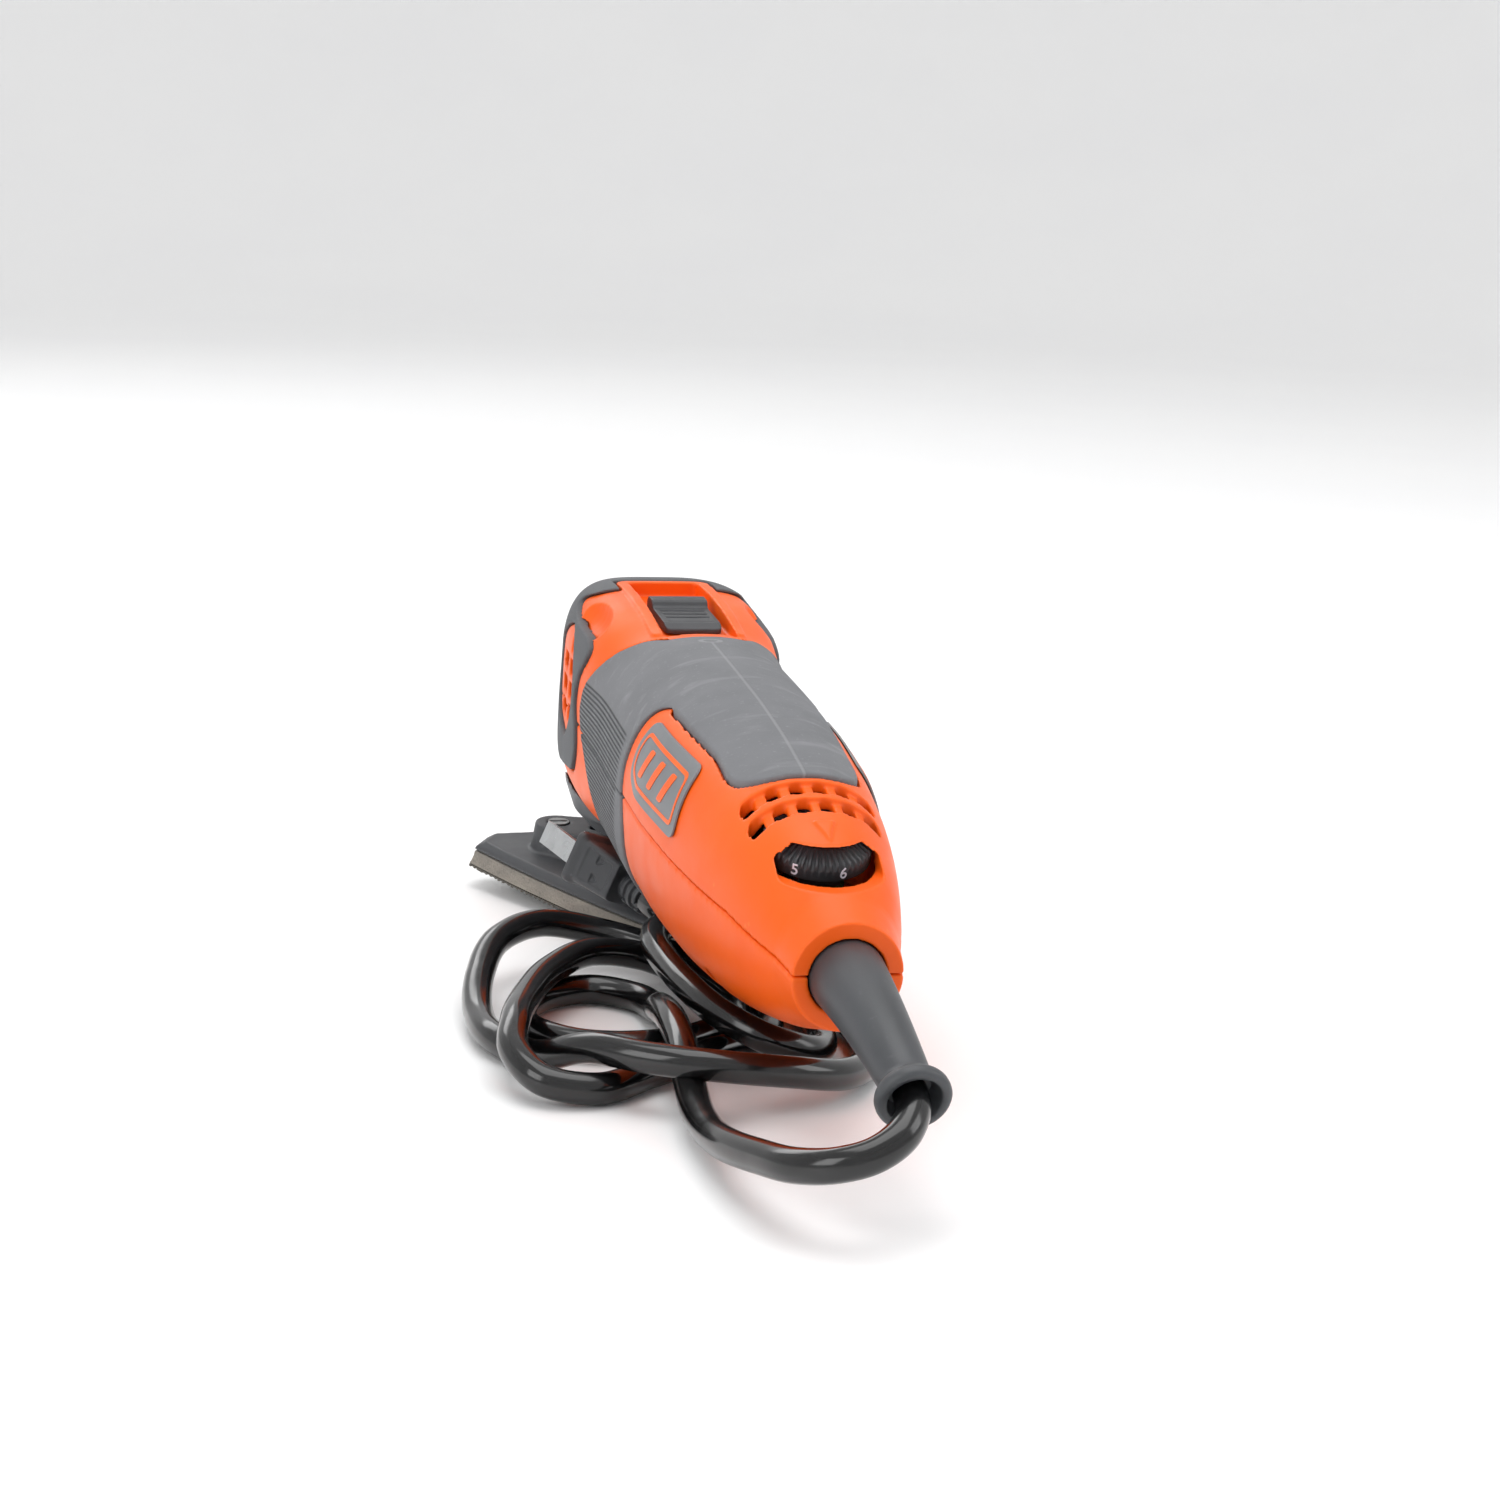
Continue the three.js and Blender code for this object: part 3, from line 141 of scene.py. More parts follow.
class Look:
    """A principled material whose colour, roughness and bump are built up from small layers."""

    def __init__(self, name, base, roughness, metallic=0.0):
        self.material = bpy.data.materials.new(name)
        self.material.use_nodes = True
        self.tree = self.material.node_tree
        self.shader = self.tree.nodes["Principled BSDF"]
        self.shader.inputs["Metallic"].default_value = metallic
        self.place = self.add("ShaderNodeTexCoord").outputs["Object"]
        self.base = self.add("ShaderNodeRGB").outputs[0]
        self.base.default_value = colour(base)
        self.rough = roughness
        self.bump = None

    def add(self, kind, **settings):
        node = self.tree.nodes.new(kind)
        for key, value in settings.items():
            setattr(node, key, value)
        return node

    def link(self, source, target):
        if isinstance(source, (int, float)):
            target.default_value = source
        else:
            self.tree.links.new(source, target)

    def noise(self, size, detail=3.0, stretch=(1, 1, 1)):
        """Noise whose features are about that many millimetres across."""
        mapping = self.add("ShaderNodeMapping")
        mapping.inputs["Scale"].default_value = stretch
        self.link(self.place, mapping.inputs["Vector"])
        node = self.add("ShaderNodeTexNoise")
        node.inputs["Scale"].default_value = 1000 / size
        node.inputs["Detail"].default_value = detail
        self.link(mapping.outputs[0], node.inputs["Vector"])
        return node.outputs["Fac"]

    def ramp(self, value, low, high, to_low=0.0, to_high=1.0):
        """Carries the values between low and high over to another range, held at its ends."""
        node = self.add("ShaderNodeMapRange")
        limits = {"From Min": low, "From Max": high, "To Min": to_low, "To Max": to_high}
        for key, number in limits.items():
            node.inputs[key].default_value = number
        self.link(value, node.inputs["Value"])
        return node.outputs[0]

    def math(self, operation, a, b=0.0):
        node = self.add("ShaderNodeMath", operation=operation)
        self.link(a, node.inputs[0])
        self.link(b, node.inputs[1])
        return node.outputs[0]

    def tint(self, mask, hexadecimal, strength=1.0):
        """Lays a colour over the base where the mask is high."""
        node = self.add("ShaderNodeMix", data_type="RGBA")
        self.link(self.math("MULTIPLY", mask, strength), node.inputs["Factor"])
        self.link(self.base, node.inputs["A"])
        node.inputs["B"].default_value = colour(hexadecimal)
        self.base = node.outputs["Result"]

    def raise_by(self, height, distance):
        """Adds a bump of that height in millimetres."""
        node = self.add("ShaderNodeBump")
        node.inputs["Distance"].default_value = distance * MM
        self.link(height, node.inputs["Height"])
        if self.bump is not None:
            self.link(self.bump, node.inputs["Normal"])
        self.bump = node.outputs["Normal"]

    def edges(self):
        """High on the rounded outer edges."""
        return self.ramp(self.add("ShaderNodeNewGeometry").outputs["Pointiness"], 0.515, 0.6)

    def done(self, spread=0.06, others=()):
        """Joins the layers and other settings to the shader, with the roughness varying in patches."""
        for name, value in dict(others).items():
            self.shader.inputs[name].default_value = value
        patches = self.noise(9, 4)
        rough = self.ramp(patches, 0.3, 0.7, max(0.03, self.rough - spread), self.rough + spread)
        self.link(rough, self.shader.inputs["Roughness"])
        self.link(self.base, self.shader.inputs["Base Color"])
        if self.bump is not None:
            self.link(self.bump, self.shader.inputs["Normal"])
        return self.material


def moulded_plastic(name, base, shade, roughness, grain=0.03, edge=None):
    """Injection-moulded plastic with a fine grain, a slow change of tone and polished edges."""
    look = Look(name, base, roughness)
    look.tint(look.ramp(look.noise(26, 4), 0.35, 0.7), shade, 0.5)
    if edge:
        look.tint(look.edges(), edge, 0.35)
    look.raise_by(look.noise(0.5, 3), grain)
    look.raise_by(look.noise(14, 2), grain * 2)
    return look.done()


def orange_plastic():
    """The shells' bright semi-gloss plastic, with lighter edges and a few darker marks."""
    look = Look("orange_plastic", "f6600a", 0.42)
    look.tint(look.ramp(look.noise(30, 4), 0.35, 0.7), "ec560a", 0.5)
    look.tint(look.edges(), "ff8234", 0.3)
    look.tint(look.ramp(look.noise(3.4, 5), 0.68, 0.8), "c63c10", 0.25)
    look.raise_by(look.noise(0.45, 3), 0.02)
    return look.done(0.05, {
        "Specular IOR Level": 0.32, "Subsurface Weight": 0.03, "Subsurface Scale": 0.002,
    })


def grip_rubber():
    """Matte over-moulded rubber with the mould's seam, its gate mark, scuffs and the ridged flanks, whose
    grooves are painted dark as shade.
    """
    look = Look("grip_rubber", "78797c", 0.82)
    look.tint(look.ramp(look.noise(22, 5), 0.4, 0.72), "6b6c6f", 0.7)
    scuffs = look.noise(7, 6, (0.35, 1.6, 1))
    look.tint(look.ramp(scuffs, 0.58, 0.74), "8f9092", 0.5)
    look.tint(look.ramp(look.noise(1.1, 4), 0.62, 0.78), "9a9b9d", 0.4)
    look.tint(look.edges(), "77797b", 0.35)
    seam = look.add("ShaderNodeAttribute", attribute_name="seam").outputs["Fac"]
    look.tint(seam, "9a9b9d", 0.5)
    look.raise_by(seam, 0.12)
    ridge = look.add("ShaderNodeAttribute", attribute_name="ridge_height").outputs["Fac"]
    ridged = look.add("ShaderNodeAttribute", attribute_name="ridge_mask").outputs["Fac"]
    wave = look.math("SINE", look.math("MULTIPLY", ridge, 2 * math.pi / RIDGE_PITCH))
    groove_and_painted_shade = look.math("MULTIPLY", look.ramp(wave, -0.9, 0.4, 1.0, 0.0), ridged)
    # The grooves between the ridges are painted dark as shade; the same mask also sinks them by bump
    # below.
    look.tint(groove_and_painted_shade, "2d2e30", 0.75)
    look.raise_by(look.math("SUBTRACT", 1.0, groove_and_painted_shade), 0.35)
    look.raise_by(look.noise(0.35, 4), 0.06)
    return look.done(0.07, {"Specular IOR Level": 0.3})


def rubber(name, base, scuff, roughness, grain=0.05):
    """Soft rubber, scuffed in patches and paler on its edges."""
    look = Look(name, base, roughness)
    look.tint(look.ramp(look.noise(18, 5), 0.4, 0.72), scuff, 0.4)
    look.tint(look.ramp(look.noise(2.2, 6), 0.66, 0.8), scuff, 0.5)
    look.tint(look.edges(), scuff, 0.5)
    look.raise_by(look.noise(0.4, 4), grain)
    return look.done()


def lead_jacket():
    """Glossy PVC with slow waves from the cores inside, and a little dust."""
    look = Look("lead_jacket", "0b0b0c", 0.16)
    look.tint(look.ramp(look.noise(5, 6), 0.58, 0.78), "1d1d1f", 0.6)
    look.tint(look.ramp(look.noise(0.9, 5), 0.7, 0.82), "3a3a3c", 0.3)
    look.raise_by(look.noise(9, 2), 0.08)
    look.raise_by(look.noise(0.6, 3), 0.01)
    return look.done(0.07, {"Coat Weight": 0.25, "Coat Roughness": 0.12})


def metal(name, base, shade, roughness, lay=(1, 1, 1)):
    """Machined or pressed metal with a fine directional grain and darker stains."""
    look = Look(name, base, roughness, 1.0)
    look.tint(look.ramp(look.noise(4, 5), 0.45, 0.75), shade, 0.6)
    look.tint(look.edges(), "f0f0ee", 0.3)
    look.raise_by(look.noise(0.5, 4, lay), 0.025)
    return look.done(0.1)


def foam():
    """Open-cell foam edge: brownish grey with pores."""
    look = Look("pad_foam", "7d776f", 0.95)
    look.tint(look.ramp(look.noise(11, 5, (1, 1, 3)), 0.4, 0.7), "948d82", 0.8)
    look.tint(look.ramp(look.noise(0.7, 5), 0.55, 0.7), "4f4a45", 0.5)
    look.raise_by(look.noise(0.6, 5), 0.25)
    return look.done(0.03, {"Sheen Weight": 0.2})


def board_laminate():
    """Green laminate with a net of tracks."""
    look = Look("circuit_board", "1c5a34", 0.5)
    tracks = look.add("ShaderNodeTexVoronoi", feature="DISTANCE_TO_EDGE")
    tracks.inputs["Scale"].default_value = 420
    look.link(look.place, tracks.inputs["Vector"])
    look.tint(look.ramp(tracks.outputs["Distance"], 0.02, 0.05, 1, 0), "3c8a52", 0.7)
    look.raise_by(look.noise(0.8, 3), 0.02)
    return look.done()


def make_looks():
    """One material for each slot of the record."""
    return {
        "orange_shell": orange_plastic(),
        "grip_rubber": grip_rubber(),
        "bumper_rubber": rubber("bumper_rubber", "505255", "6d6f72", 0.66),
        "badge_plate": moulded_plastic("badge_plate", "75777a", "696b6e", 0.45, 0.02, "909295"),
        "dark_plastic": moulded_plastic("dark_plastic", "3c3d40", "333437", 0.48, 0.03, "606164"),
        "black_plastic": moulded_plastic("black_plastic", "343538", "2a2b2d", 0.42, 0.03, "5c5d60"),
        "lever_plastic": moulded_plastic("lever_plastic", "5d5f62", "525457", 0.46, 0.03, "7c7e81"),
        "circuit_board": board_laminate(),
        "machined_steel": metal("machined_steel", "b4b7ba", "8e9194", 0.3, (0.2, 3, 1)),
        "screw_steel": metal("screw_steel", "3a3b3e", "2a2b2d", 0.42),
        "laminated_steel": metal("laminated_steel", "7c7f83", "54575b", 0.45, (0.2, 14, 0.2)),
        "cast_zinc": metal("cast_zinc", "9b9da0", "77797c", 0.5),
        "copper_bars": metal("copper_bars", "b4693a", "874322", 0.35, (8, 1, 8)),
        "brass_fitting": metal("brass_fitting", "c9a44e", "9c7a30", 0.32),
        "carbon": moulded_plastic("carbon", "202020", "2e2e2e", 0.75, 0.05),
        "pad_plastic": moulded_plastic("pad_plastic", "3f4144", "36383b", 0.5, 0.04, "66686b"),
        "pad_foam": foam(),
        "hook_face": rubber("hook_face", "47443f", "6a665e", 0.8, 0.08),
        "sleeve_rubber": rubber("sleeve_rubber", "3d3f42", "54565a", 0.42, 0.02),
        "lead_jacket": lead_jacket(),
        "plug_rubber": rubber("plug_rubber", "37383b", "55575a", 0.48, 0.03),
    }


# ---- Mesh helpers, in millimetres ------------------------------------------
def linked(name, data):
    """A new object in the scene."""
    piece = bpy.data.objects.new(name, data)
    SCENE.collection.objects.link(piece)
    return piece


def solid(name, points, faces):
    """A mesh object with its faces turned outward."""
    mesh = bpy.data.meshes.new(name)
    mesh.from_pydata([tuple(p) for p in points], [], faces)
    work = bmesh.new()
    work.from_mesh(mesh)
    bmesh.ops.recalc_face_normals(work, faces=work.faces)
    work.to_mesh(mesh)
    work.free()
    return linked(name, mesh)


def quads(first, second, count):
    """The faces between two rings of points, each ring given by the number of its first point."""
    return [
        (first + j, first + (j + 1) % count, second + (j + 1) % count, second + j) for j in range(count)
    ]


def skin(rings):
    """A closed skin through rings of equal point counts, with a flat end on each."""
    count = len(rings[0])
    points = [p for ring in rings for p in ring]
    faces = []
    for i in range(len(rings) - 1):
        faces += quads(i * count, (i + 1) * count, count)
    last = (len(rings) - 1) * count
    faces.append(tuple(range(count)))
    faces.append(tuple(range(last, last + count)))
    return solid("skin", points, faces)


def prism(outline, low, high, axis="z"):
    """An outline carried along an axis: (x, y) for z, (y, z) for x and (x, z) for y."""
    place = {
        "z": lambda a, b, c: (a, b, c),
        "x": lambda a, b, c: (c, a, b),
        "y": lambda a, b, c: (a, c, b),
    }[axis]
    return skin([[place(a, b, c) for a, b in outline] for c in (low, high)])


def box(x, y, z):
    """A block between two places on each axis."""
    return prism([(x[0], y[0]), (x[1], y[0]), (x[1], y[1]), (x[0], y[1])], *z)


def rectangle(a, b, half_a, half_b):
    """The corners of a rectangle about a middle."""
    low_a, high_a, low_b, high_b = a - half_a, a + half_a, b - half_b, b + half_b
    return [(low_a, low_b), (high_a, low_b), (high_a, high_b), (low_a, high_b)]


def rounded(corners, radius, steps=5):
    """The outline with each corner turned into a curve."""
    outline = []
    count = len(corners)
    for i, corner in enumerate(corners):
        here = Vector(corner)
        before = Vector(corners[i - 1]) - here
        after = Vector(corners[(i + 1) % count]) - here
        start = here + before.normalized() * min(radius, 0.45 * before.length)
        end = here + after.normalized() * min(radius, 0.45 * after.length)
        for s in range(steps + 1):
            t = s / steps
            outline.append(tuple((1 - t) ** 2 * start + 2 * t * (1 - t) * here + t * t * end))
    return outline


def circle(x, y, radius, facets=48):
    turn = 2 * math.pi / facets
    return [(x + radius * math.cos(i * turn), y + radius * math.sin(i * turn)) for i in range(facets)]


def rod(x, y, radius, low, high, facets=48):
    """An upright cylinder."""
    return prism(circle(x, y, radius, facets), low, high)


def turned(profile, facets=96):
    """A closed profile of (radius, z) turned about Z. It may begin and end on the axis."""
    points, faces, rows = [], [], []
    for radius, z in profile:
        if radius == 0:
            rows.append([len(points)] * facets)
            points.append((0, 0, z))
            continue
        rows.append(list(range(len(points), len(points) + facets)))
        points += [(x, y, z) for x, y in circle(0, 0, radius, facets)]
    pairs = list(zip(rows, rows[1:]))
    if profile[0][0] > 0:
        pairs.append((rows[-1], rows[0]))
    for lower, upper in pairs:
        for j in range(facets):
            k = (j + 1) % facets
            corners = list(dict.fromkeys((lower[j], lower[k], upper[k], upper[j])))
            if len(corners) > 2:
                faces.append(corners)
    return solid("turned", points, faces)


def settle(piece):
    """Turns a piece's modifiers into plain mesh."""
    graph = bpy.context.evaluated_depsgraph_get()
    mesh = bpy.data.meshes.new_from_object(piece.evaluated_get(graph))
    piece.modifiers.clear()
    old, piece.data = piece.data, mesh
    bpy.data.meshes.remove(old)
    return piece


def combine(operation, piece, *others):
    """Joins, cuts or crosses a piece with others, which are used up."""
    for other in others:
        modifier = piece.modifiers.new("combine", "BOOLEAN")
        modifier.operation = operation
        modifier.solver = "MANIFOLD"
        modifier.object = other
        settle(piece)
        bpy.data.objects.remove(other)
    return piece


def join(piece, *others):
    return combine("UNION", piece, *others)


def cut(piece, *others):
    return combine("DIFFERENCE", piece, *others)


def common(piece, *others):
    return combine("INTERSECT", piece, *others)


def copy(piece):
    twin = piece.copy()
    twin.data = piece.data.copy()
    SCENE.collection.objects.link(twin)
    return twin


def moulded(piece, voxel=VOXEL, passes=4):
    """Rebuilds a piece in small even facets and softens its edges, as a mould leaves them."""
    remesh = piece.modifiers.new("remesh", "REMESH")
    remesh.mode = "VOXEL"
    remesh.voxel_size = voxel
    remesh.use_smooth_shade = True
    soften = piece.modifiers.new("soften", "SMOOTH")
    soften.factor = 0.5
    soften.iterations = passes
    return settle(piece)


def crisp(piece, degrees=32):
    """Smooth shading that keeps the edges sharper than that angle."""
    piece.data.shade_smooth()
    piece.data.set_sharp_from_angle(angle=math.radians(degrees))
    return piece


def placed(piece, matrix=TOOL):
    """Moves a piece's mesh out of its own millimetres into the row frame."""
    piece.data.transform(matrix)
    piece.data.update()
    return piece


def finished(piece, name, body, slot, looks, *nodes):
    """Names a piece, gives it its finish, and sets it on its body in place of the CAD nodes."""
    piece.name = name
    piece.data.name = name
    piece.data.materials.clear()
    piece.data.materials.append(looks[slot])
    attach(piece, body)
    if nodes:
        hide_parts(*nodes)
    return piece


# ---- The housing's form ----------------------------------------------------
def straight_section(y):
    """The cross-section at y, in straight lines from one row of the table to the next."""
    y = min(max(y, TAIL), NOSE)
    for low, high in zip(SECTIONS, SECTIONS[1:]):
        if y <= high[0]:
            t = (y - low[0]) / (high[0] - low[0])
            return [a + (b - a) * t for a, b in zip(low[1:], high[1:])]


def section(y):
    """The cross-section at y, eased over a few millimetres but crisper at the tail's round boss."""
    reach = min(6, 0.6 + max(0, y + 183) * 0.5, 0.4 + max(0, NOSE - y) * 0.8)
    rows = [straight_section(y + reach * s / 4) for s in range(-4, 5)]
    return [sum(values) / len(rows) for values in zip(*rows)]


def form(offset, front=NOSE, rear=TAIL):
    """The housing between two places along the axis, grown outward by the offset."""
    pieces = max(1, round((front - rear) / FORM_STEP))
    rings = []
    for i in range(pieces + 1):
        y = rear + (front - rear) * i / pieces
        half, top, bottom, square = section(y)
        ring = []
        for j in range(FORM_FACETS):
            angle = 2 * math.pi * (j + 0.5) / FORM_FACETS
            c, s = math.cos(angle), math.sin(angle)
            height = top + offset if s > 0 else -bottom + offset
            x = (half + offset) * math.copysign(abs(c) ** (2 / square), c)
            ring.append((x, y, height * math.copysign(abs(s) ** (2 / square), s)))
        rings.append(ring)
    return skin(rings)


def seam_side(above, gap):
    """Everything above or below the line that the two shells part at, less half the gap."""
    edge = [(y, z + (gap / 2 if above else -gap / 2)) for y, z in PARTING]
    far = 80 if above else -80
    return prism(edge + [(PARTING[-1][0], far), (PARTING[0][0], far)], -80, 80, "x")


def grip_area(grow):
    """A band round the waist with a tongue back along the top."""
    front = [
        (-48, 60), (-48, 35), (-41.5, 33.6), (-38, 31), (-34.5, 27.8), (-30.5, 23), (-25.5, 17.8),
        (-22.4, 12.6), (-22.6, 7.5), (-26.6, 1.8), (-34, -4), (-42, -14), (-46, -60),
    ]
    rear = [
        (-84, -60), (-84, -4), (-80.6, 3), (-78.4, 9), (-79.8, 17), (-81.4, 23), (-83.6, 26.2),
        (-86.5, 28), (-91, 29.4), (-97, 30.5), (-97, 60),
    ]
    band = rounded([(y + grow, z) for y, z in front] + [(y - grow, z) for y, z in rear], 6)
    side = [
        (17.9 + grow, -90), (17.1 + grow, -108), (15.2 + grow, -131), (15.2 + grow, -141),
        (13.6 + grow, -146.4 - grow), (9, -150 - grow),
    ]
    tongue = rounded([(-x, y) for x, y in side] + side[::-1], 3)
    return join(prism(band, -60, 60, "x"), prism(tongue, 12, 60))


def bumper_area(grow):
    """The nose in front of a line that waves back over the flank and forward over the shoulder."""
    rear = [
        (1, 60), (1, 35.6), (6, 33.6), (7.4, 31.8), (2, 30), (-8, 28.6), (-18, 28.2), (-22.3, 25.6),
        (-21.5, 22.6), (-18, 18.8), (-15.2, 14), (-14.3, 8), (-17, 3),
    ]
    edge = [(60, -13 - grow), (60, 60)] + [(y - grow, z) for y, z in rear]
    edge += [(-18.5 - grow, -3 - grow), (-15 - grow, -10 - grow), (6, -13 - grow)]
    return prism(rounded(edge, 3), -60, 60, "x")


def leaf_area(grow):
    """The leaf-shaped opening in the bumper's flank, pointed above and below."""
    outline = []
    for i in range(48):
        angle = 2 * math.pi * i / 48
        c, s = math.cos(angle), math.sin(angle)
        bulge = (LEAF["front"] if c > 0 else LEAF["rear"]) + grow
        y = LEAF["y"] + bulge * math.copysign(abs(c) ** 1.35, c)
        outline.append((y, LEAF["z"] + (LEAF["half"] + grow) * s))
    return prism(outline, -60, 60, "x")


# ---- Housing shells --------------------------------------------------------
def top_vents():
    """Two arched rows of windows, each row in its own shallow channel."""
    tools = []
    for y, length, pitch in TOP_VENTS:
        for i in range(6):
            window = rectangle((i - 2.5) * pitch, y, 1.5, length / 2 + 0.2)
            tools.append(prism(rounded(window, 0.6), 15, 60))
        channel = rectangle(0, y, 2.5 * pitch + 1.9, length / 2)
        tools.append(cut(prism(rounded(channel, 2), 15, 60), form(-1.1)))
    return tools


def side_vents():
    """The lattice of windows inside the bumper's leaf: two columns of three and one more on top."""
    tools = []
    for y, z in ((-5, 3), (5, 3), (-5, 9.4), (5, 9.4), (-5, 15.8), (5, 15.8), (-5, 22.2)):
        tools.append(prism(rounded(rectangle(y, z, 3.8, 2.3), 1.2), -60, 60, "x"))
    return tools


def dial_matrix():
    """The speed wheel's frame: its axle is upright and leans a little."""
    return Matrix.Translation((0, DIAL["y"], DIAL["z"])) @ Matrix.Rotation(DIAL["lean"], 4, "X")


def dial_window():
    """The opening in the tail that the speed wheel is seen and turned through."""
    outline = [(-11.8, 15.6), (11.8, 15.6), (11.8, 19.4), (7.6, 22.4), (-7.6, 22.4), (-11.8, 19.4)]
    return prism(rounded(outline, 1), -200, -167, "y")


def dial_room():
    """The hollow that the speed wheel turns in."""
    wide, half = DIAL["radius"] + 0.6, DIAL["thick"] / 2
    profile = [(0, -half - 0.6), (wide, -half - 0.6), (wide, 2), (wide - 4, half + 1.4), (0, half + 1.4)]
    room = turned(profile, 64)
    room.data.transform(dial_matrix())
    return room


def pointer():
    """A raised triangle above the dial's window."""
    triangle = prism([(-2.3, -168.6), (2.3, -168.6), (0, -174.6)], 15, 60)
    return common(triangle, form(0.75))


def pocket():
    """The switch's well with its rounded corners, and the slot that the stem goes through."""
    well = rounded(rectangle(0, -16, 9.8, 26), 2.4)
    return [prism(well, 32.5, 60), box((-3.4, 3.4), (-31, -1), (20, 60))]


def pocket_rim():
    """The slightly raised surround of the switch."""
    outline = rounded([(-12.6, -40), (12.6, -40), (12.9, 12.4), (-12.9, 12.4)], 3)
    return common(prism(outline, 26, 60), form(0.6))


def thumb_scoop(side):
    """A shallow hollow behind the bumper's upper corner."""
    rings = []
    for i in range(1, 16):
        along = -math.cos(math.pi * i / 16)
        radius = math.sqrt(1 - along * along)
        rings.append([
            (side * (26.6 + 8 * x), -13.5 + 14 * along, 34.6 + 8 * z) for x, z in circle(0, 0, radius, 32)
        ])
    return skin(rings)


def screw_places():
    """Each housing screw's x and y, and the radius of its boss."""
    return [(-21, -92, 3.1), (21, -92, 3.1), (-15.5, -148, 3.8), (15.5, -148, 3.8)]


def whole_shell():
    """Both halves of the housing as one, with the recesses that the soft skins sit in."""
    shell = cut(form(0), form(-WALL, NOSE - WALL, TAIL + WALL + 2))
    for x, y, radius in screw_places():
        boss = common(rod(x, y, radius, -26, 16), form(-1, NOSE - 1, TAIL + 1))
        join(shell, boss)
    bumper_seat = cut(bumper_area(BUMPER["gap"]), leaf_area(-BUMPER["gap"]))
    for area in (grip_area(GRIP["gap"]), bumper_seat):
        cut(shell, cut(area, form(-SEAT_DEPTH, NOSE - SEAT_DEPTH)))
    cut(shell, rod(0, 0, 16.2, -60, -8), prism(circle(0, 0, 8.7), TAIL - 5, TAIL + 12, "y"))
    cut(shell, box((-5, 5), (20, 60), (19, 33)))
    for x, y, radius in screw_places():
        cut(shell, rod(x, y, 1.9, -60, 12, 24), rod(x, y, 3.5, -60, -13.5))
    return shell


def make_housing(looks):
    """The two shells, with their openings, raised marks and the switch's surround."""
    shell = whole_shell()
    top = common(copy(shell), seam_side(True, GAP))
    join(top, common(pocket_rim(), seam_side(True, GAP)))
    join(top, pointer())
    cut(top, *pocket(), dial_window(), dial_room(), *top_vents(), *side_vents())
    cut(top, thumb_scoop(1), thumb_scoop(-1))
    placed(moulded(top, 0.4, 3))
    finished(top, "top_shell", "housing", "orange_shell", looks, "top_housing")
    bottom = common(shell, seam_side(False, GAP))
    cut(bottom, *side_vents())
    placed(moulded(bottom))
    finished(bottom, "bottom_shell", "housing", "orange_shell", looks, "bottom_housing")


# ---- Soft skins ------------------------------------------------------------
def smoothstep(low, high, value):
    """Rises smoothly from 0 at low to 1 at high."""
    t = min(max((value - low) / (high - low), 0), 1)
    return t * t * (3 - 2 * t)


def mark_grip(piece):
    """Writes where the mould's seam and gate lie, and the ridges run, for the rubber's material, which
    bumps the ridges and paints shade into their grooves.
    """
    seam = piece.data.attributes.new("seam", "FLOAT", "POINT").data
    height = piece.data.attributes.new("ridge_height", "FLOAT", "POINT").data
    mask = piece.data.attributes.new("ridge_mask", "FLOAT", "POINT").data
    for vertex in piece.data.vertices:
        x, y, z = vertex.co
        gate = abs(math.hypot(x / 2.6, (y + 51.8) / 1.5) - 1) < 0.28 and z > 20
        middle = 0.0 if y > -53.6 else 1 - smoothstep(0.1, 0.42, abs(x))
        seam[vertex.index].value = 1.0 if gate else middle
        height[vertex.index].value = z
        flank = smoothstep(13, 18, abs(x)) * smoothstep(-77, -73, y) * (1 - smoothstep(17.6, 18.8, z))
        mask[vertex.index].value = flank * smoothstep(-19, -17, z)


def make_grip(above, looks):
    """One half of the rubber skin round the waist."""
    layer = cut(form(GRIP["proud"]), form(-GRIP["depth"]))
    common(layer, grip_area(0), seam_side(above, GAP))
    moulded(layer, 0.36, 12)
    mark_grip(layer)
    name = "top_grip" if above else "bottom_grip"
    finished(placed(layer), name + "_skin", "housing", "grip_rubber", looks, name)


def make_bumper(looks):
    """The soft cap on the nose, open round the switch, in its leaves and at the lever's slot."""
    proud, depth = BUMPER["proud"], BUMPER["depth"]
    layer = cut(form(proud, NOSE + proud), form(-depth, NOSE - depth))
    common(layer, bumper_area(0))
    keep_clear = prism(rounded(rectangle(0, -23.5, 13.6, 36.5), 1), 28, 60)
    cut(layer, leaf_area(0), keep_clear, box((-5, 5), (20, 60), (19, 33)), grip_area(GRIP["gap"]))
    moulded(layer, 0.4, 9)
    finished(placed(layer), "nose_bumper_skin", "housing", "bumper_rubber", looks, "nose_bumper")


def make_collar(looks):
    """The cup round the neck of the gear case, open upward where the housing dips into it."""
    cup = turned(SPINDLE_CUP)
    cut(cup, form(0.35, NOSE + GAP))
    cut(cup, common(form(1.2, NOSE + 1.2), bumper_area(GAP)))
    cut(cup, common(form(1), grip_area(GAP)))
    moulded(cup, 0.5, 5)
    finished(placed(cup), "nose_collar_cup", "housing", "lever_plastic", looks, "nose_collar")


def badge_outline(inset):
    """The badge's outline on the flank, (y, z), drawn in towards its middle."""
    corners = [
        (-90.5, 26.3), (-129.5, 26.3), (-131.2, 9.3), (-96, 8.7), (-88.2, 12), (-87.4, 19),
    ]
    count = len(corners)
    drawn = []
    for i, corner in enumerate(corners):
        here = Vector(corner)
        before = (Vector(corners[i - 1]) - here).normalized()
        after = (Vector(corners[(i + 1) % count]) - here).normalized()
        half_angle = math.acos(max(-1, min(1, before.dot(after)))) / 2
        drawn.append(tuple(here + (before + after).normalized() * inset / math.sin(half_angle)))
    return rounded(drawn, max(1, 3 - 0.4 * inset))


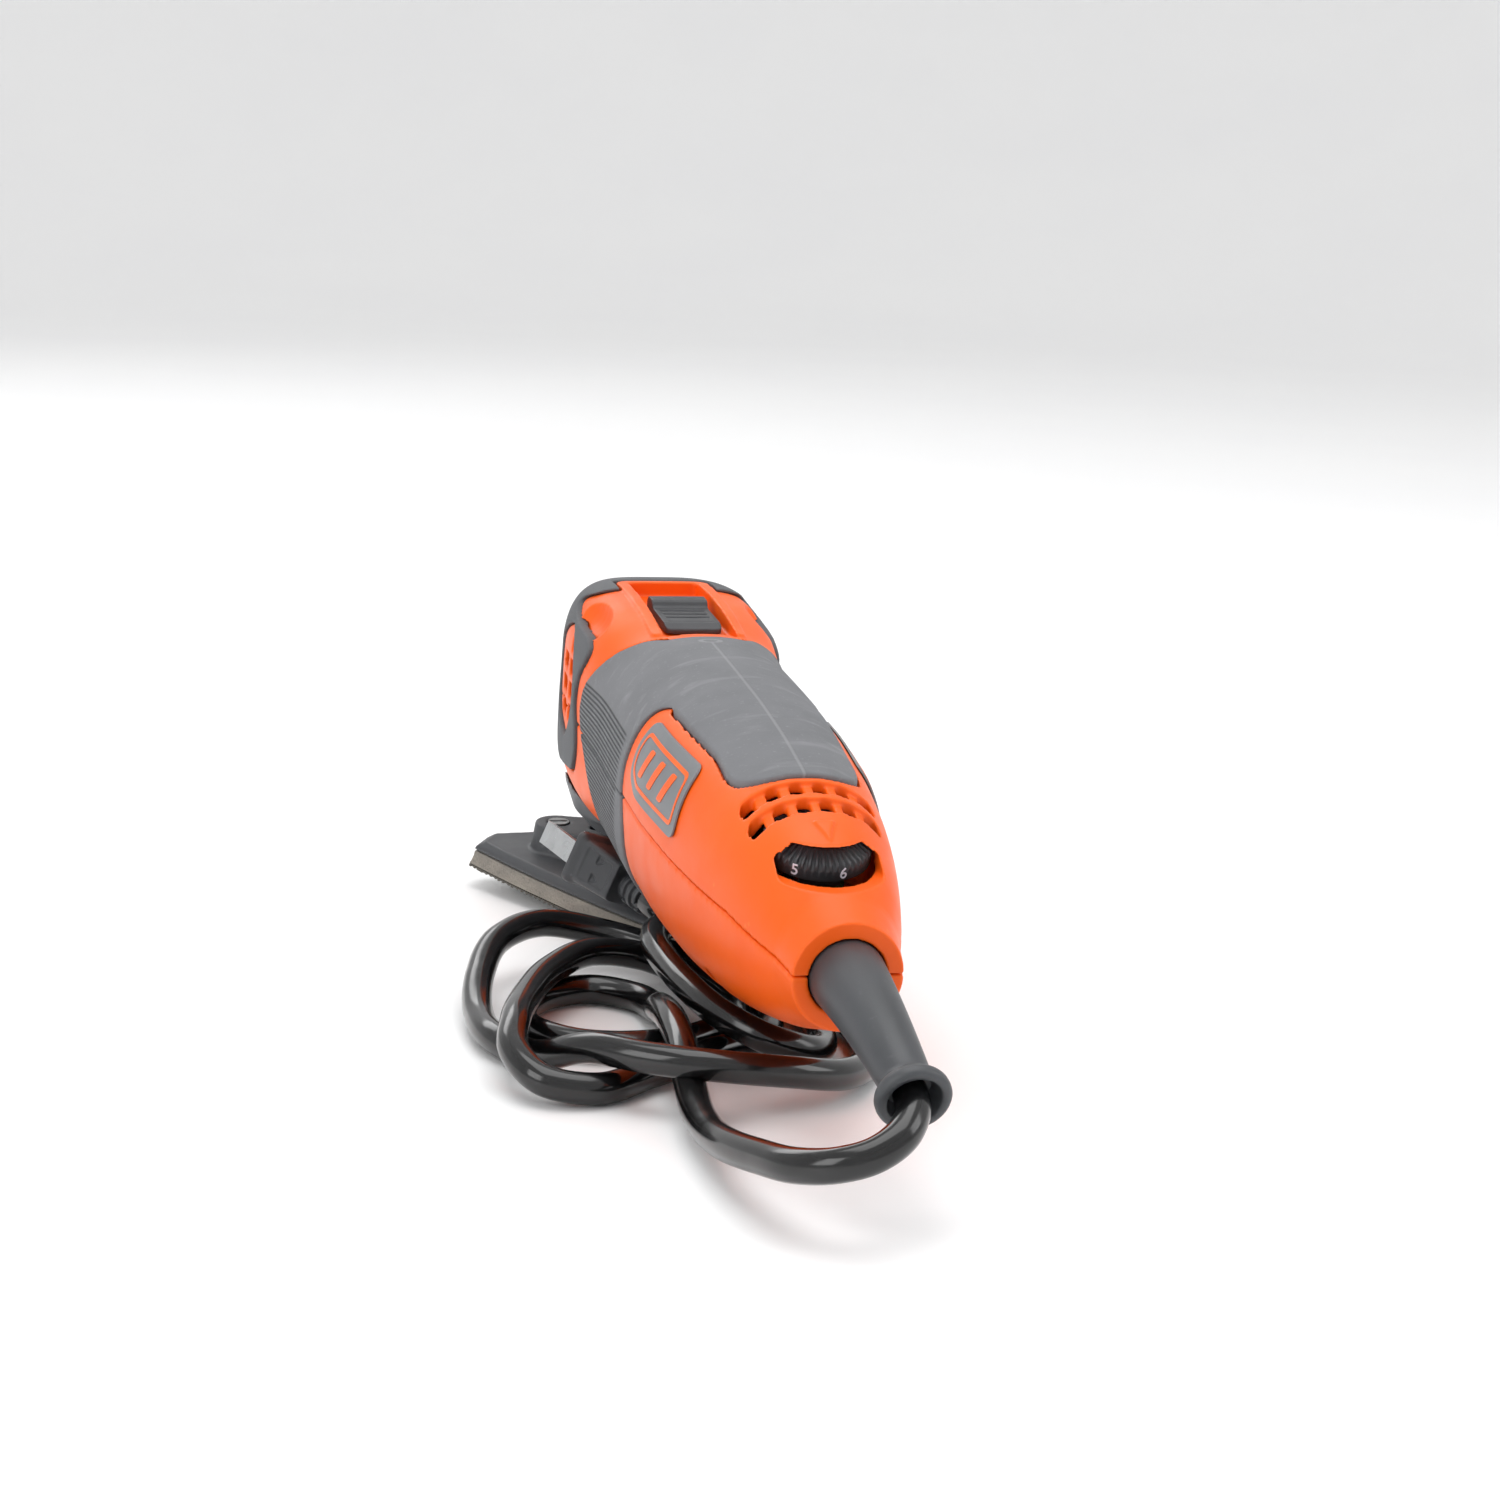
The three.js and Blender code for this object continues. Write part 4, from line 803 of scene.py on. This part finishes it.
def badge_relief(outline, side, low, high):
    """An outline on the flank between two heights above the housing."""
    area = prism(outline, *((2, 60) if side > 0 else (-60, -2)), "x")
    return common(cut(form(high), form(low)), area)


def make_badge(side, looks):
    """A plain plate with a border line and three slanted bars."""
    name = "badge_right" if side > 0 else "badge_left"
    plate = crisp(badge_relief(badge_outline(0), side, *BADGE["plate"]))
    finished(placed(plate), name + "_plate", "housing", "badge_plate", looks, name)
    outer, inner = BADGE["border"]
    border = badge_relief(badge_outline(outer), side, *BADGE["lines"])
    cut(border, prism(badge_outline(inner), -60, 60, "x"))
    for i in range(3):
        y = -99 - 9.5 * i
        bar = rounded([(y, 14), (y + 3.4, 14), (y - 0.6, 21.6), (y - 4, 21.6)], 0.8)
        join(border, badge_relief(bar, side, *BADGE["lines"]))
    finished(placed(crisp(border)), name + "_lines", "housing", "orange_shell", looks)


# ---- Switch, dial, sleeve, lever -------------------------------------------
def make_slider(looks):
    """The thumb slide: a plate with a raised bar in front, three grooves and a stem."""
    outline = rounded(rectangle(0, -19.25, 7.6, 13.75), 1.8)
    side = rounded([
        (-34, 32.8), (-34, 34), (-30, 35.3), (-14.6, 35.5), (-13.4, 37.3), (-8.4, 37.3),
        (-6.4, 35.6), (-4, 34.6), (-4, 32.8),
    ], 0.8)
    slide = common(prism(outline, 32.8, 40), prism(side, -9, 9, "x"))
    for y in (-17.4, -20.8, -24.2):
        cut(slide, prism(rounded(rectangle(0, y, 6, 0.55), 0.5), 34.6, 40))
    cut(slide, box((-6.4, 6.4), (-28.9, -28.3), (35.1, 40)))
    join(slide, box((-2.9, 2.9), (-22, -14), (27.4, 33.5)))
    moulded(slide, 0.28, 3)
    finished(placed(slide), "switch_slide", "switch", "dark_plastic", looks, "switch_slider")


def make_dial(looks):
    """The speed wheel: a cone ribbed for the thumb above a rim that carries the numbers."""
    radius, half = DIAL["radius"], DIAL["thick"] / 2
    profile = [
        (2.3, -half), (radius - 0.8, -half), (radius - 0.2, -half + 0.2), (radius, -half + 0.7),
        (radius, 0.1), (radius, 1.3), (radius - 0.3, 1.7), (radius - 1.2, 2.1), (radius - 2.6, 2.9),
        (radius - 4, half + 0.8), (6, half + 0.8), (5.4, half + 0.2), (2.3, half + 0.2),
    ]
    wheel = turned(profile, DIAL_FACETS)
    for vertex in wheel.data.vertices:
        x, y, z = vertex.co
        r = math.hypot(x, y)
        turns = math.atan2(x, -y) / (2 * math.pi)
        rib = smoothstep(-0.25, 0.35, math.cos(2 * math.pi * turns * DIAL_RIBS))
        if r > radius - 4.2 and 0.9 < z < half + 0.7:
            vertex.co.xy *= 1 - 0.055 * (1 - rib)
            vertex.co.z -= 0.25 * (1 - rib)
    crisp(wheel, 40)
    placed(wheel, TOOL @ dial_matrix())
    finished(wheel, "speed_wheel", "dial", "black_plastic", looks, "speed_dial")
    ink = number_ink()
    for number in range(1, 7):
        make_digit(number, ink)


def number_ink():
    """The pale print of the numbers, worn in places."""
    ink = Look("number_ink", "e9e4ee", 0.5)
    ink.tint(ink.ramp(ink.noise(0.6, 4), 0.6, 0.75), "bdb8c2", 0.5)
    ink.raise_by(ink.noise(0.3, 3), 0.01)
    return ink.done()


def make_digit(number, ink):
    """A number from 1 to 6, wrapped round the wheel's rim."""
    text = bpy.data.curves.new("number", "FONT")
    text.body = str(number)
    text.size = DIGITS["size"]
    text.align_x = "CENTER"
    text.align_y = "CENTER"
    text.extrude = DIGITS["raised"]
    text.offset = DIGITS["weight"]
    holder = linked("number", text)
    graph = bpy.context.evaluated_depsgraph_get()
    mesh = bpy.data.meshes.new_from_object(holder.evaluated_get(graph))
    bpy.data.objects.remove(holder)
    radius = DIAL["radius"]
    middle = math.radians(DIGITS["last_at"] + DIGITS["pitch"] * (number - 6))
    for vertex in mesh.vertices:
        along, up, out = vertex.co
        angle = middle + along / radius
        reach = radius + 0.02 + out
        vertex.co = (reach * math.sin(angle), -reach * math.cos(angle), up - DIGITS["drop"])
    digit = linked("dial_number_%d" % number, mesh)
    placed(digit, TOOL @ dial_matrix())
    mesh.materials.clear()
    mesh.materials.append(ink)
    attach(digit, "dial")


def sleeve_line(t):
    """The sleeve's middle line, from 0 at the housing to 1 at its mouth."""
    y = SLEEVE["root"] + (SLEEVE["end"] - SLEEVE["root"]) * t
    return Vector((SLEEVE["drift"] * t * t, y, -SLEEVE["droop"] * t * t))


def ring_about(middle, along, radius):
    """A ring of points square to a direction."""
    side = Vector((1, 0, 0))
    up = side.cross(along).normalized()
    turn = 2 * math.pi / SLEEVE_FACETS
    ring = []
    for i in range(SLEEVE_FACETS):
        ring.append(middle + side * radius * math.cos(i * turn) + up * radius * math.sin(i * turn))
    return ring


def make_sleeve(looks):
    """The bend sleeve: a long taper that ends in a rolled lip with a wide mouth."""
    root, tip, flange, mouth = (SLEEVE[k] for k in ("root_radius", "tip_radius", "flange", "mouth"))
    along = (sleeve_line(1) - sleeve_line(0.96)).normalized()
    rings = []
    for i in range(36):
        t = 0.88 * i / 35
        tangent = (sleeve_line(t + 0.02) - sleeve_line(t)).normalized()
        taper = max(0, (t - 0.1) / 0.8)
        rings.append(ring_about(sleeve_line(t), tangent, root + (tip - root) * taper))
    lip = [
        (5.4, tip + 0.1), (4.6, tip + 0.5), (4, tip + 1.1), (3.5, flange - 0.7), (3, flange - 0.3),
        (2.4, flange - 0.05), (1.6, flange), (0.9, flange - 0.1), (0.4, flange - 0.4),
        (0.1, flange - 0.8), (0, flange - 1.3), (0.2, mouth + 0.2), (0.8, mouth - 0.1),
        (2, mouth - 0.35), (5, LEAD / 2 + 1.1),
    ]
    rings += [ring_about(sleeve_line(1) - along * back, along, radius) for back, radius in lip]
    boot = crisp(skin(rings), 50)
    finished(placed(boot), "cord_boot", "housing", "sleeve_rubber", looks, "cord_sleeve")


def make_lever(looks):
    """The blade-change lever: a curved plate with a lip, stiffening ribs and a knuckle on its pin."""
    y, z, reach, half = LEVER["y"], LEVER["z"], LEVER["reach"], LEVER["half"]
    side = rounded([
        (y + 3.4, z), (y + 3, z - 12), (y + 2.2, z - 24), (y - 1, z - 34), (y - 2, z - reach + 1),
        (y - 3.4, z - reach), (y - 4.2, z - reach + 1.6), (y - 2.2, z - 30), (y + 0.2, z - 20),
        (y, z - 6),
    ], 2)
    front = [(-half, z + 4), (half, z + 4), (half - 1.5, z - reach), (-half + 1.5, z - reach)]
    plate = common(prism(side, -half, half, "x"), prism(rounded(front, 3), 20, 60, "y"))
    join(plate, prism(circle(y, z, LEVER["hub"]), -half, half, "x"))
    for step in range(5):
        low = z - 10 - 3.2 * step
        cut(plate, box((-8, 8), (y + 2.6 - 0.12 * step, y + 9), (low - 0.6, low + 0.6)))
    cut(plate, prism(circle(y, z, 1.7), -30, 30, "x"))
    moulded(plate, 0.4, 4)
    finished(placed(plate), "lever_blade", "lever", "lever_plastic", looks, "lock_lever")


# ---- Sanding pad -----------------------------------------------------------
def pad_outline(inset, steps=14):
    """A triangle with slightly full sides and clipped corners, one turned to the front left."""
    corners = []
    for turns in range(3):
        for clip in (-PAD["clip"], PAD["clip"]):
            angle = math.radians(90 + PAD["turn"] + turns * 120) + clip
            corners.append(Vector((math.cos(angle), math.sin(angle))) * (PAD["tip"] - inset))
    outline = []
    for side in range(3):
        start, end = corners[2 * side + 1], corners[(2 * side + 2) % 6]
        outward = (start + end).normalized()
        for i in range(steps + 1):
            t = i / steps
            outline.append(start.lerp(end, t) + outward * 4 * PAD["fullness"] * t * (1 - t))
    return outline


def pad_skin(levels):
    """The pad's outline through levels of (inset, z)."""
    return skin([[(p.x, p.y, z) for p in pad_outline(inset)] for inset, z in levels])


def boss_outline(grow):
    """The raised boss: round about the spindle, with an arm that ends round the pad's screw."""
    outline = []
    for i in range(17):
        angle = -math.pi / 2 + math.pi * i / 16
        reach = BOSS["end"] + grow
        outline.append((BOSS["reach"] + reach * math.cos(angle), reach * math.sin(angle)))
    for i in range(33):
        angle = math.pi * (0.36 + 1.28 * i / 32)
        outline.append(((BOSS["hub"] + grow) * math.cos(angle), (BOSS["hub"] + grow) * math.sin(angle)))
    c, s = (f(math.radians(90 + PAD["turn"])) for f in (math.cos, math.sin))
    return [(x * c - y * s, x * s + y * c) for x, y in outline]


def along_boss(distance, aside=0.0):
    """A place on the pad, measured from the spindle towards the forward corner."""
    turn = math.radians(90 + PAD["turn"])
    c, s = math.cos(turn), math.sin(turn)
    return distance * c - aside * s, distance * s + aside * c


def make_pad(looks):
    """The pad's moulded plate with its boss, and the foam under it."""
    plate = pad_skin([(4.2, -42), (3.6, -42), (1, -43.6), (0.5, -44.2), (0.5, -44.9)])
    boss_levels = ((0, BOSS["top"]), (1.2, -42.2), (2.2, -43))
    join(plate, skin([[(x, y, z) for x, y in boss_outline(grow)] for grow, z in boss_levels]))
    cut(plate, rod(0, 0, 2.5, -60, -30), rod(0, 0, 10, -60, -44.3))
    x, y = along_boss(BOSS["reach"])
    cut(plate, rod(x, y, 1.8, -43.2, -30, 24), rod(x, y, 3.3, BOSS["top"] - 1.6, -30))
    hole_x, hole_y = along_boss(17.5)
    cut(plate, rod(hole_x, hole_y, 2, BOSS["top"] - 3, -30))
    moulded(plate, 0.42, 4)
    finished(placed(plate), "pad_plate_moulding", "spindle", "pad_plastic", looks, "pad_plate")
    layer = pad_skin([
        (0.7, -45.2), (0.5, -45.4), (0.35, -46.4), (-0.05, -47.4), (-0.5, -48.4), (-0.9, -49),
    ])
    cut(layer, rod(0, 0, 11, -60, -40))
    crisp(layer, 40)
    finished(placed(layer), "pad_foam_layer", "spindle", "pad_foam", looks, "pad_foam")


def make_hooks(looks):
    """The hook face: a thin backing with rows of small blunt hooks below it."""
    backing = pad_skin([(-0.9, -49.3), (-1.1, -49.45), (-1.1, -49.62)])
    cut(backing, rod(0, 0, 11, -60, -40))
    edge = pad_outline(-0.6)
    middle_edges = list(zip(edge, edge[1:] + edge[:1]))
    random.seed(11)
    points = [tuple(v.co) for v in backing.data.vertices]
    faces = [tuple(f.vertices) for f in backing.data.polygons]
    pitch = 2.1
    spots = []
    for row in range(-30, 31):
        for column in range(-30, 31):
            x, y = (column + 0.5 * (row % 2)) * pitch, row * pitch * 0.87
            inside = all((b - a).cross(Vector((x, y)) - a) > 0 for a, b in middle_edges)
            if inside and math.hypot(x, y) > 12:
                spots.append((x, y))
    for a, b in middle_edges:
        count = max(1, round((b - a).length / 1.9))
        spots += [tuple(a.lerp(b, i / count)) for i in range(count)]
    for x, y in spots:
        start = len(points)
        x += random.uniform(-0.2, 0.2)
        y += random.uniform(-0.2, 0.2)
        for radius, z in ((0.38, -49.5), (0.55, -49.8), (0.3, -50)):
            points += [(px, py, z) for px, py in circle(x, y, radius, 6)]
        faces += quads(start, start + 6, 6) + quads(start + 6, start + 12, 6)
        faces.append(tuple(start + 12 + j for j in range(6)))
        faces.append(tuple(start + 5 - j for j in range(6)))
    bpy.data.objects.remove(backing)
    face = crisp(solid("hook_face", points, faces), 45)
    finished(placed(face), "hook_face_layer", "spindle", "hook_face", looks, "pad_hook_layer")


# ---- Lead and plug ---------------------------------------------------------
def smooth_route(points, steps=12):
    """A centripetal Catmull-Rom curve through the points."""
    route = [Vector(p) for p in points]
    route = [2 * route[0] - route[1]] + route + [2 * route[-1] - route[-2]]
    line = []
    for a, b, c, d in zip(route, route[1:], route[2:], route[3:]):
        t1 = math.sqrt((b - a).length)
        t2 = t1 + math.sqrt((c - b).length)
        t3 = t2 + math.sqrt((d - c).length)
        for i in range(steps):
            t = t1 + (t2 - t1) * i / steps
            ab = a.lerp(b, t / t1)
            bc = b.lerp(c, (t - t1) / (t2 - t1))
            cd = c.lerp(d, (t - t2) / (t3 - t2))
            left = ab.lerp(bc, t / t2)
            right = bc.lerp(cd, (t - t1) / (t3 - t1))
            line.append(left.lerp(right, (t - t1) / (t2 - t1)))
    return line + [route[-2]]


def make_lead():
    """The lead as one tube along its route, and its length in metres."""
    line = smooth_route(LEAD_ROUTE)
    curve = bpy.data.curves.new("mains_lead", "CURVE")
    curve.dimensions = "3D"
    curve.bevel_depth = LEAD / 2 * MM
    curve.bevel_resolution = 7
    curve.use_fill_caps = True
    spline = curve.splines.new("POLY")
    spline.points.add(len(line) - 1)
    for point, place in zip(spline.points, line):
        point.co = (*place, 1)
    spline.use_smooth = True
    lead = linked("mains_lead", curve)
    length = sum((b - a).length for a, b in zip(line, line[1:]))
    return lead, length


def plug_matrix():
    """The plug's frame: W runs from its face to the lead, U along its long side, V through it."""
    w = Vector((0.36, -0.91, -0.17)).normalized()
    tilted = Vector((0.93, 0.34, -0.36))
    u = (tilted - w * tilted.dot(w)).normalized()
    v = w.cross(u)
    root = Vector(LEAD_ROUTE[-1]) - w * (PLUG["relief_length"] + GAP) * MM
    turn = Matrix((u, v, w)).transposed().to_4x4()
    return Matrix.Translation(root) @ turn @ WORLD


def plug_ring(half_u, half_v, w):
    """A rectangle with round corners across the plug."""
    points = []
    radius = 0.28 * half_v
    for i, (cu, cv) in enumerate(((1, 1), (-1, 1), (-1, -1), (1, -1))):
        for step in range(9):
            angle = math.pi / 2 * (i + step / 8)
            u = cu * (half_u - radius) + radius * math.cos(angle)
            points.append((u, cv * (half_v - radius) + radius * math.sin(angle), w))
    return points


def make_plug(looks):
    """The moulded plug: flanged face, a sunk panel with two grip marks, and a ribbed strain relief."""
    back, face, length, lip = PLUG["back"], PLUG["face"], PLUG["length"], PLUG["lip"]
    body = skin([
        plug_ring(*back, 0), plug_ring(face[0] - 1.1, face[1] - 1.1, -length + lip + 1.4),
        plug_ring(face[0] - 0.2, face[1] - 0.2, -length + lip + 0.1),
        plug_ring(*face, -length + lip - 0.3), plug_ring(*face, -length),
    ])
    for side in (1, -1):
        cut(body, panel_cut(side))
        for place in (-2.6, 2.6):
            cut(body, grip_mark(side, place))
    relief, reach = PLUG["relief"], PLUG["relief_length"]
    join(body, prism(circle(0, 0, relief - 0.9), -1, reach))
    for i in range(3):
        low = 2.9 * i + 1.5
        ring = rod(0, 0, relief, low, low + 1.7)
        for quarter in range(2):
            angle = math.radians(45 + 60 * (i % 2) + 180 * quarter)
            notch = box((2.9, 6), (-0.9, 0.9), (low - 0.5, low + 2.2))
            notch.data.transform(Matrix.Rotation(angle, 4, "Z"))
            cut(ring, notch)
        join(body, ring)
    for side in (1, -1):
        u = side * 6.35
        cut(body, box((u - 1.05, u + 1.05), (-3.45, 3.45), (-40, -length + 4.3)))
    placed(moulded(body, 0.3, 3), plug_matrix())
    return finished(body, "plug_moulding", "housing", "plug_rubber", looks, "plug_body")


def plug_side(outline, side, depth):
    """An outline of (v, w) sunk to that depth into a narrow side of the plug, which leans outward."""
    back, face, length = PLUG["back"][0], PLUG["face"][0] - 1.1, PLUG["length"] - PLUG["lip"] - 1.4
    lean = (face - back) / length
    return skin([
        [(side * (back - lean * w + outward), v, w) for v, w in outline] for outward in (-depth, 5)
    ])


def panel_cut(side):
    """The sunk panel on one of the plug's sides."""
    return plug_side(rounded([(-4.6, -12.4), (4.6, -12.4), (3.9, -1.8), (-3.9, -1.8)], 1.2), side, 0.45)


def grip_mark(side, place):
    """A small sunk triangle in the panel."""
    return plug_side([(place - 1.5, -8.4), (place + 1.5, -8.4), (place, -5.4)], side, 1.1)


# ---- Carried-over pieces, floor, lights and camera -------------------------
def dress_nodes(looks):
    """Gives every CAD node that still shows the material of its slot."""
    for entry in frame["record"]["subparts"]:
        node = NODES[entry["node"]]
        node.data.materials.clear()
        node.data.materials.append(looks[entry["material_slot"]])


def make_floor():
    """A wide pale floor that curves up into a backdrop all round."""
    look = Look("studio_floor", "fdfdfd", 0.5)
    look.tint(look.ramp(look.noise(240, 3), 0.4, 0.7), "fafafb", 0.5)
    flat, bend, height = 2.6, 1.6, 4
    profile = [(0, 0), (0.7, 0), (1.4, 0), (flat, 0)]
    for i in range(1, 13):
        angle = math.pi / 24 * i
        profile.append((flat + bend * math.sin(angle), bend - bend * math.cos(angle)))
    profile.append((flat + bend, height))
    facets = 96
    points = [(0, 0, 0)]
    faces = []
    for radius, z in profile[1:]:
        points += [(x, y, z) for x, y in circle(0, 0, radius, facets)]
    for j in range(facets):
        faces.append((0, 1 + j, 1 + (j + 1) % facets))
    for i in range(len(profile) - 2):
        faces += quads(1 + (i + 1) * facets, 1 + i * facets, facets)
    mesh = bpy.data.meshes.new("studio_floor")
    mesh.from_pydata(points, [], faces)
    mesh.shade_smooth()
    mesh.materials.append(look.done(0.03))
    linked("studio_floor", mesh)


def make_light(name, place, size, power):
    """A soft box that faces the tool."""
    data = bpy.data.lights.new(name, "AREA")
    data.shape = "RECTANGLE"
    data.size, data.size_y = size
    data.energy = power
    light = linked(name, data)
    light.location = place
    light.rotation_mode = "QUATERNION"
    light.rotation_quaternion = (Vector(place) - Vector(LIT_POINT)).to_track_quat("Z", "Y")


def make_lights():
    """Even soft light from above and all round."""
    world = bpy.data.worlds.new("studio")
    world.use_nodes = True
    background = world.node_tree.nodes["Background"]
    background.inputs["Color"].default_value = (1, 1, 1, 1)
    background.inputs["Strength"].default_value = SKY_STRENGTH
    SCENE.world = world
    for name, (place, size, power) in LIGHTS.items():
        make_light(name, place, size, power)


def make_camera():
    """The camera behind the tail, set by where it stands in the tool's frame."""
    azimuth, elevation, roll = (math.radians(CAMERA[k]) for k in ("azimuth", "elevation", "roll"))
    back = Vector((
        math.sin(azimuth) * math.cos(elevation),
        -math.cos(azimuth) * math.cos(elevation),
        math.sin(elevation),
    ))
    level = Vector((math.cos(azimuth), math.sin(azimuth), 0))
    upright = back.cross(level)
    right = level * math.cos(roll) + upright * math.sin(roll)
    up = upright * math.cos(roll) - level * math.sin(roll)
    aside, above = CAMERA["shift"]
    place = Vector(CAMERA["target"]) + right * aside + up * above + back * CAMERA["distance"]
    turn = Matrix((right, up, back)).transposed().to_4x4()
    data = bpy.data.cameras.new("camera")
    data.sensor_width = 36
    data.lens = CAMERA["lens"]
    camera = linked("camera", data)
    camera.matrix_world = Matrix.Translation(TOOL @ place) @ Matrix.Rotation(TILT, 4, "X") @ turn
    SCENE.camera = camera


# ---- The scene -------------------------------------------------------------
SCENE.view_settings.view_transform = "Standard"  # the default one fades the orange to pink
make_camera()
lead, lead_length = make_lead()
looks = make_looks()
dress_nodes(looks)
finished(lead, "mains_lead", "housing", "lead_jacket", looks, "cord")
plug = make_plug(looks)
make_housing(looks)
make_grip(True, looks)
make_grip(False, looks)
make_bumper(looks)
make_collar(looks)
make_badge(-1, looks)
make_badge(1, looks)
make_slider(looks)
make_dial(looks)
make_sleeve(looks)
make_lever(looks)
make_pad(looks)
make_hooks(looks)
make_floor()
make_lights()
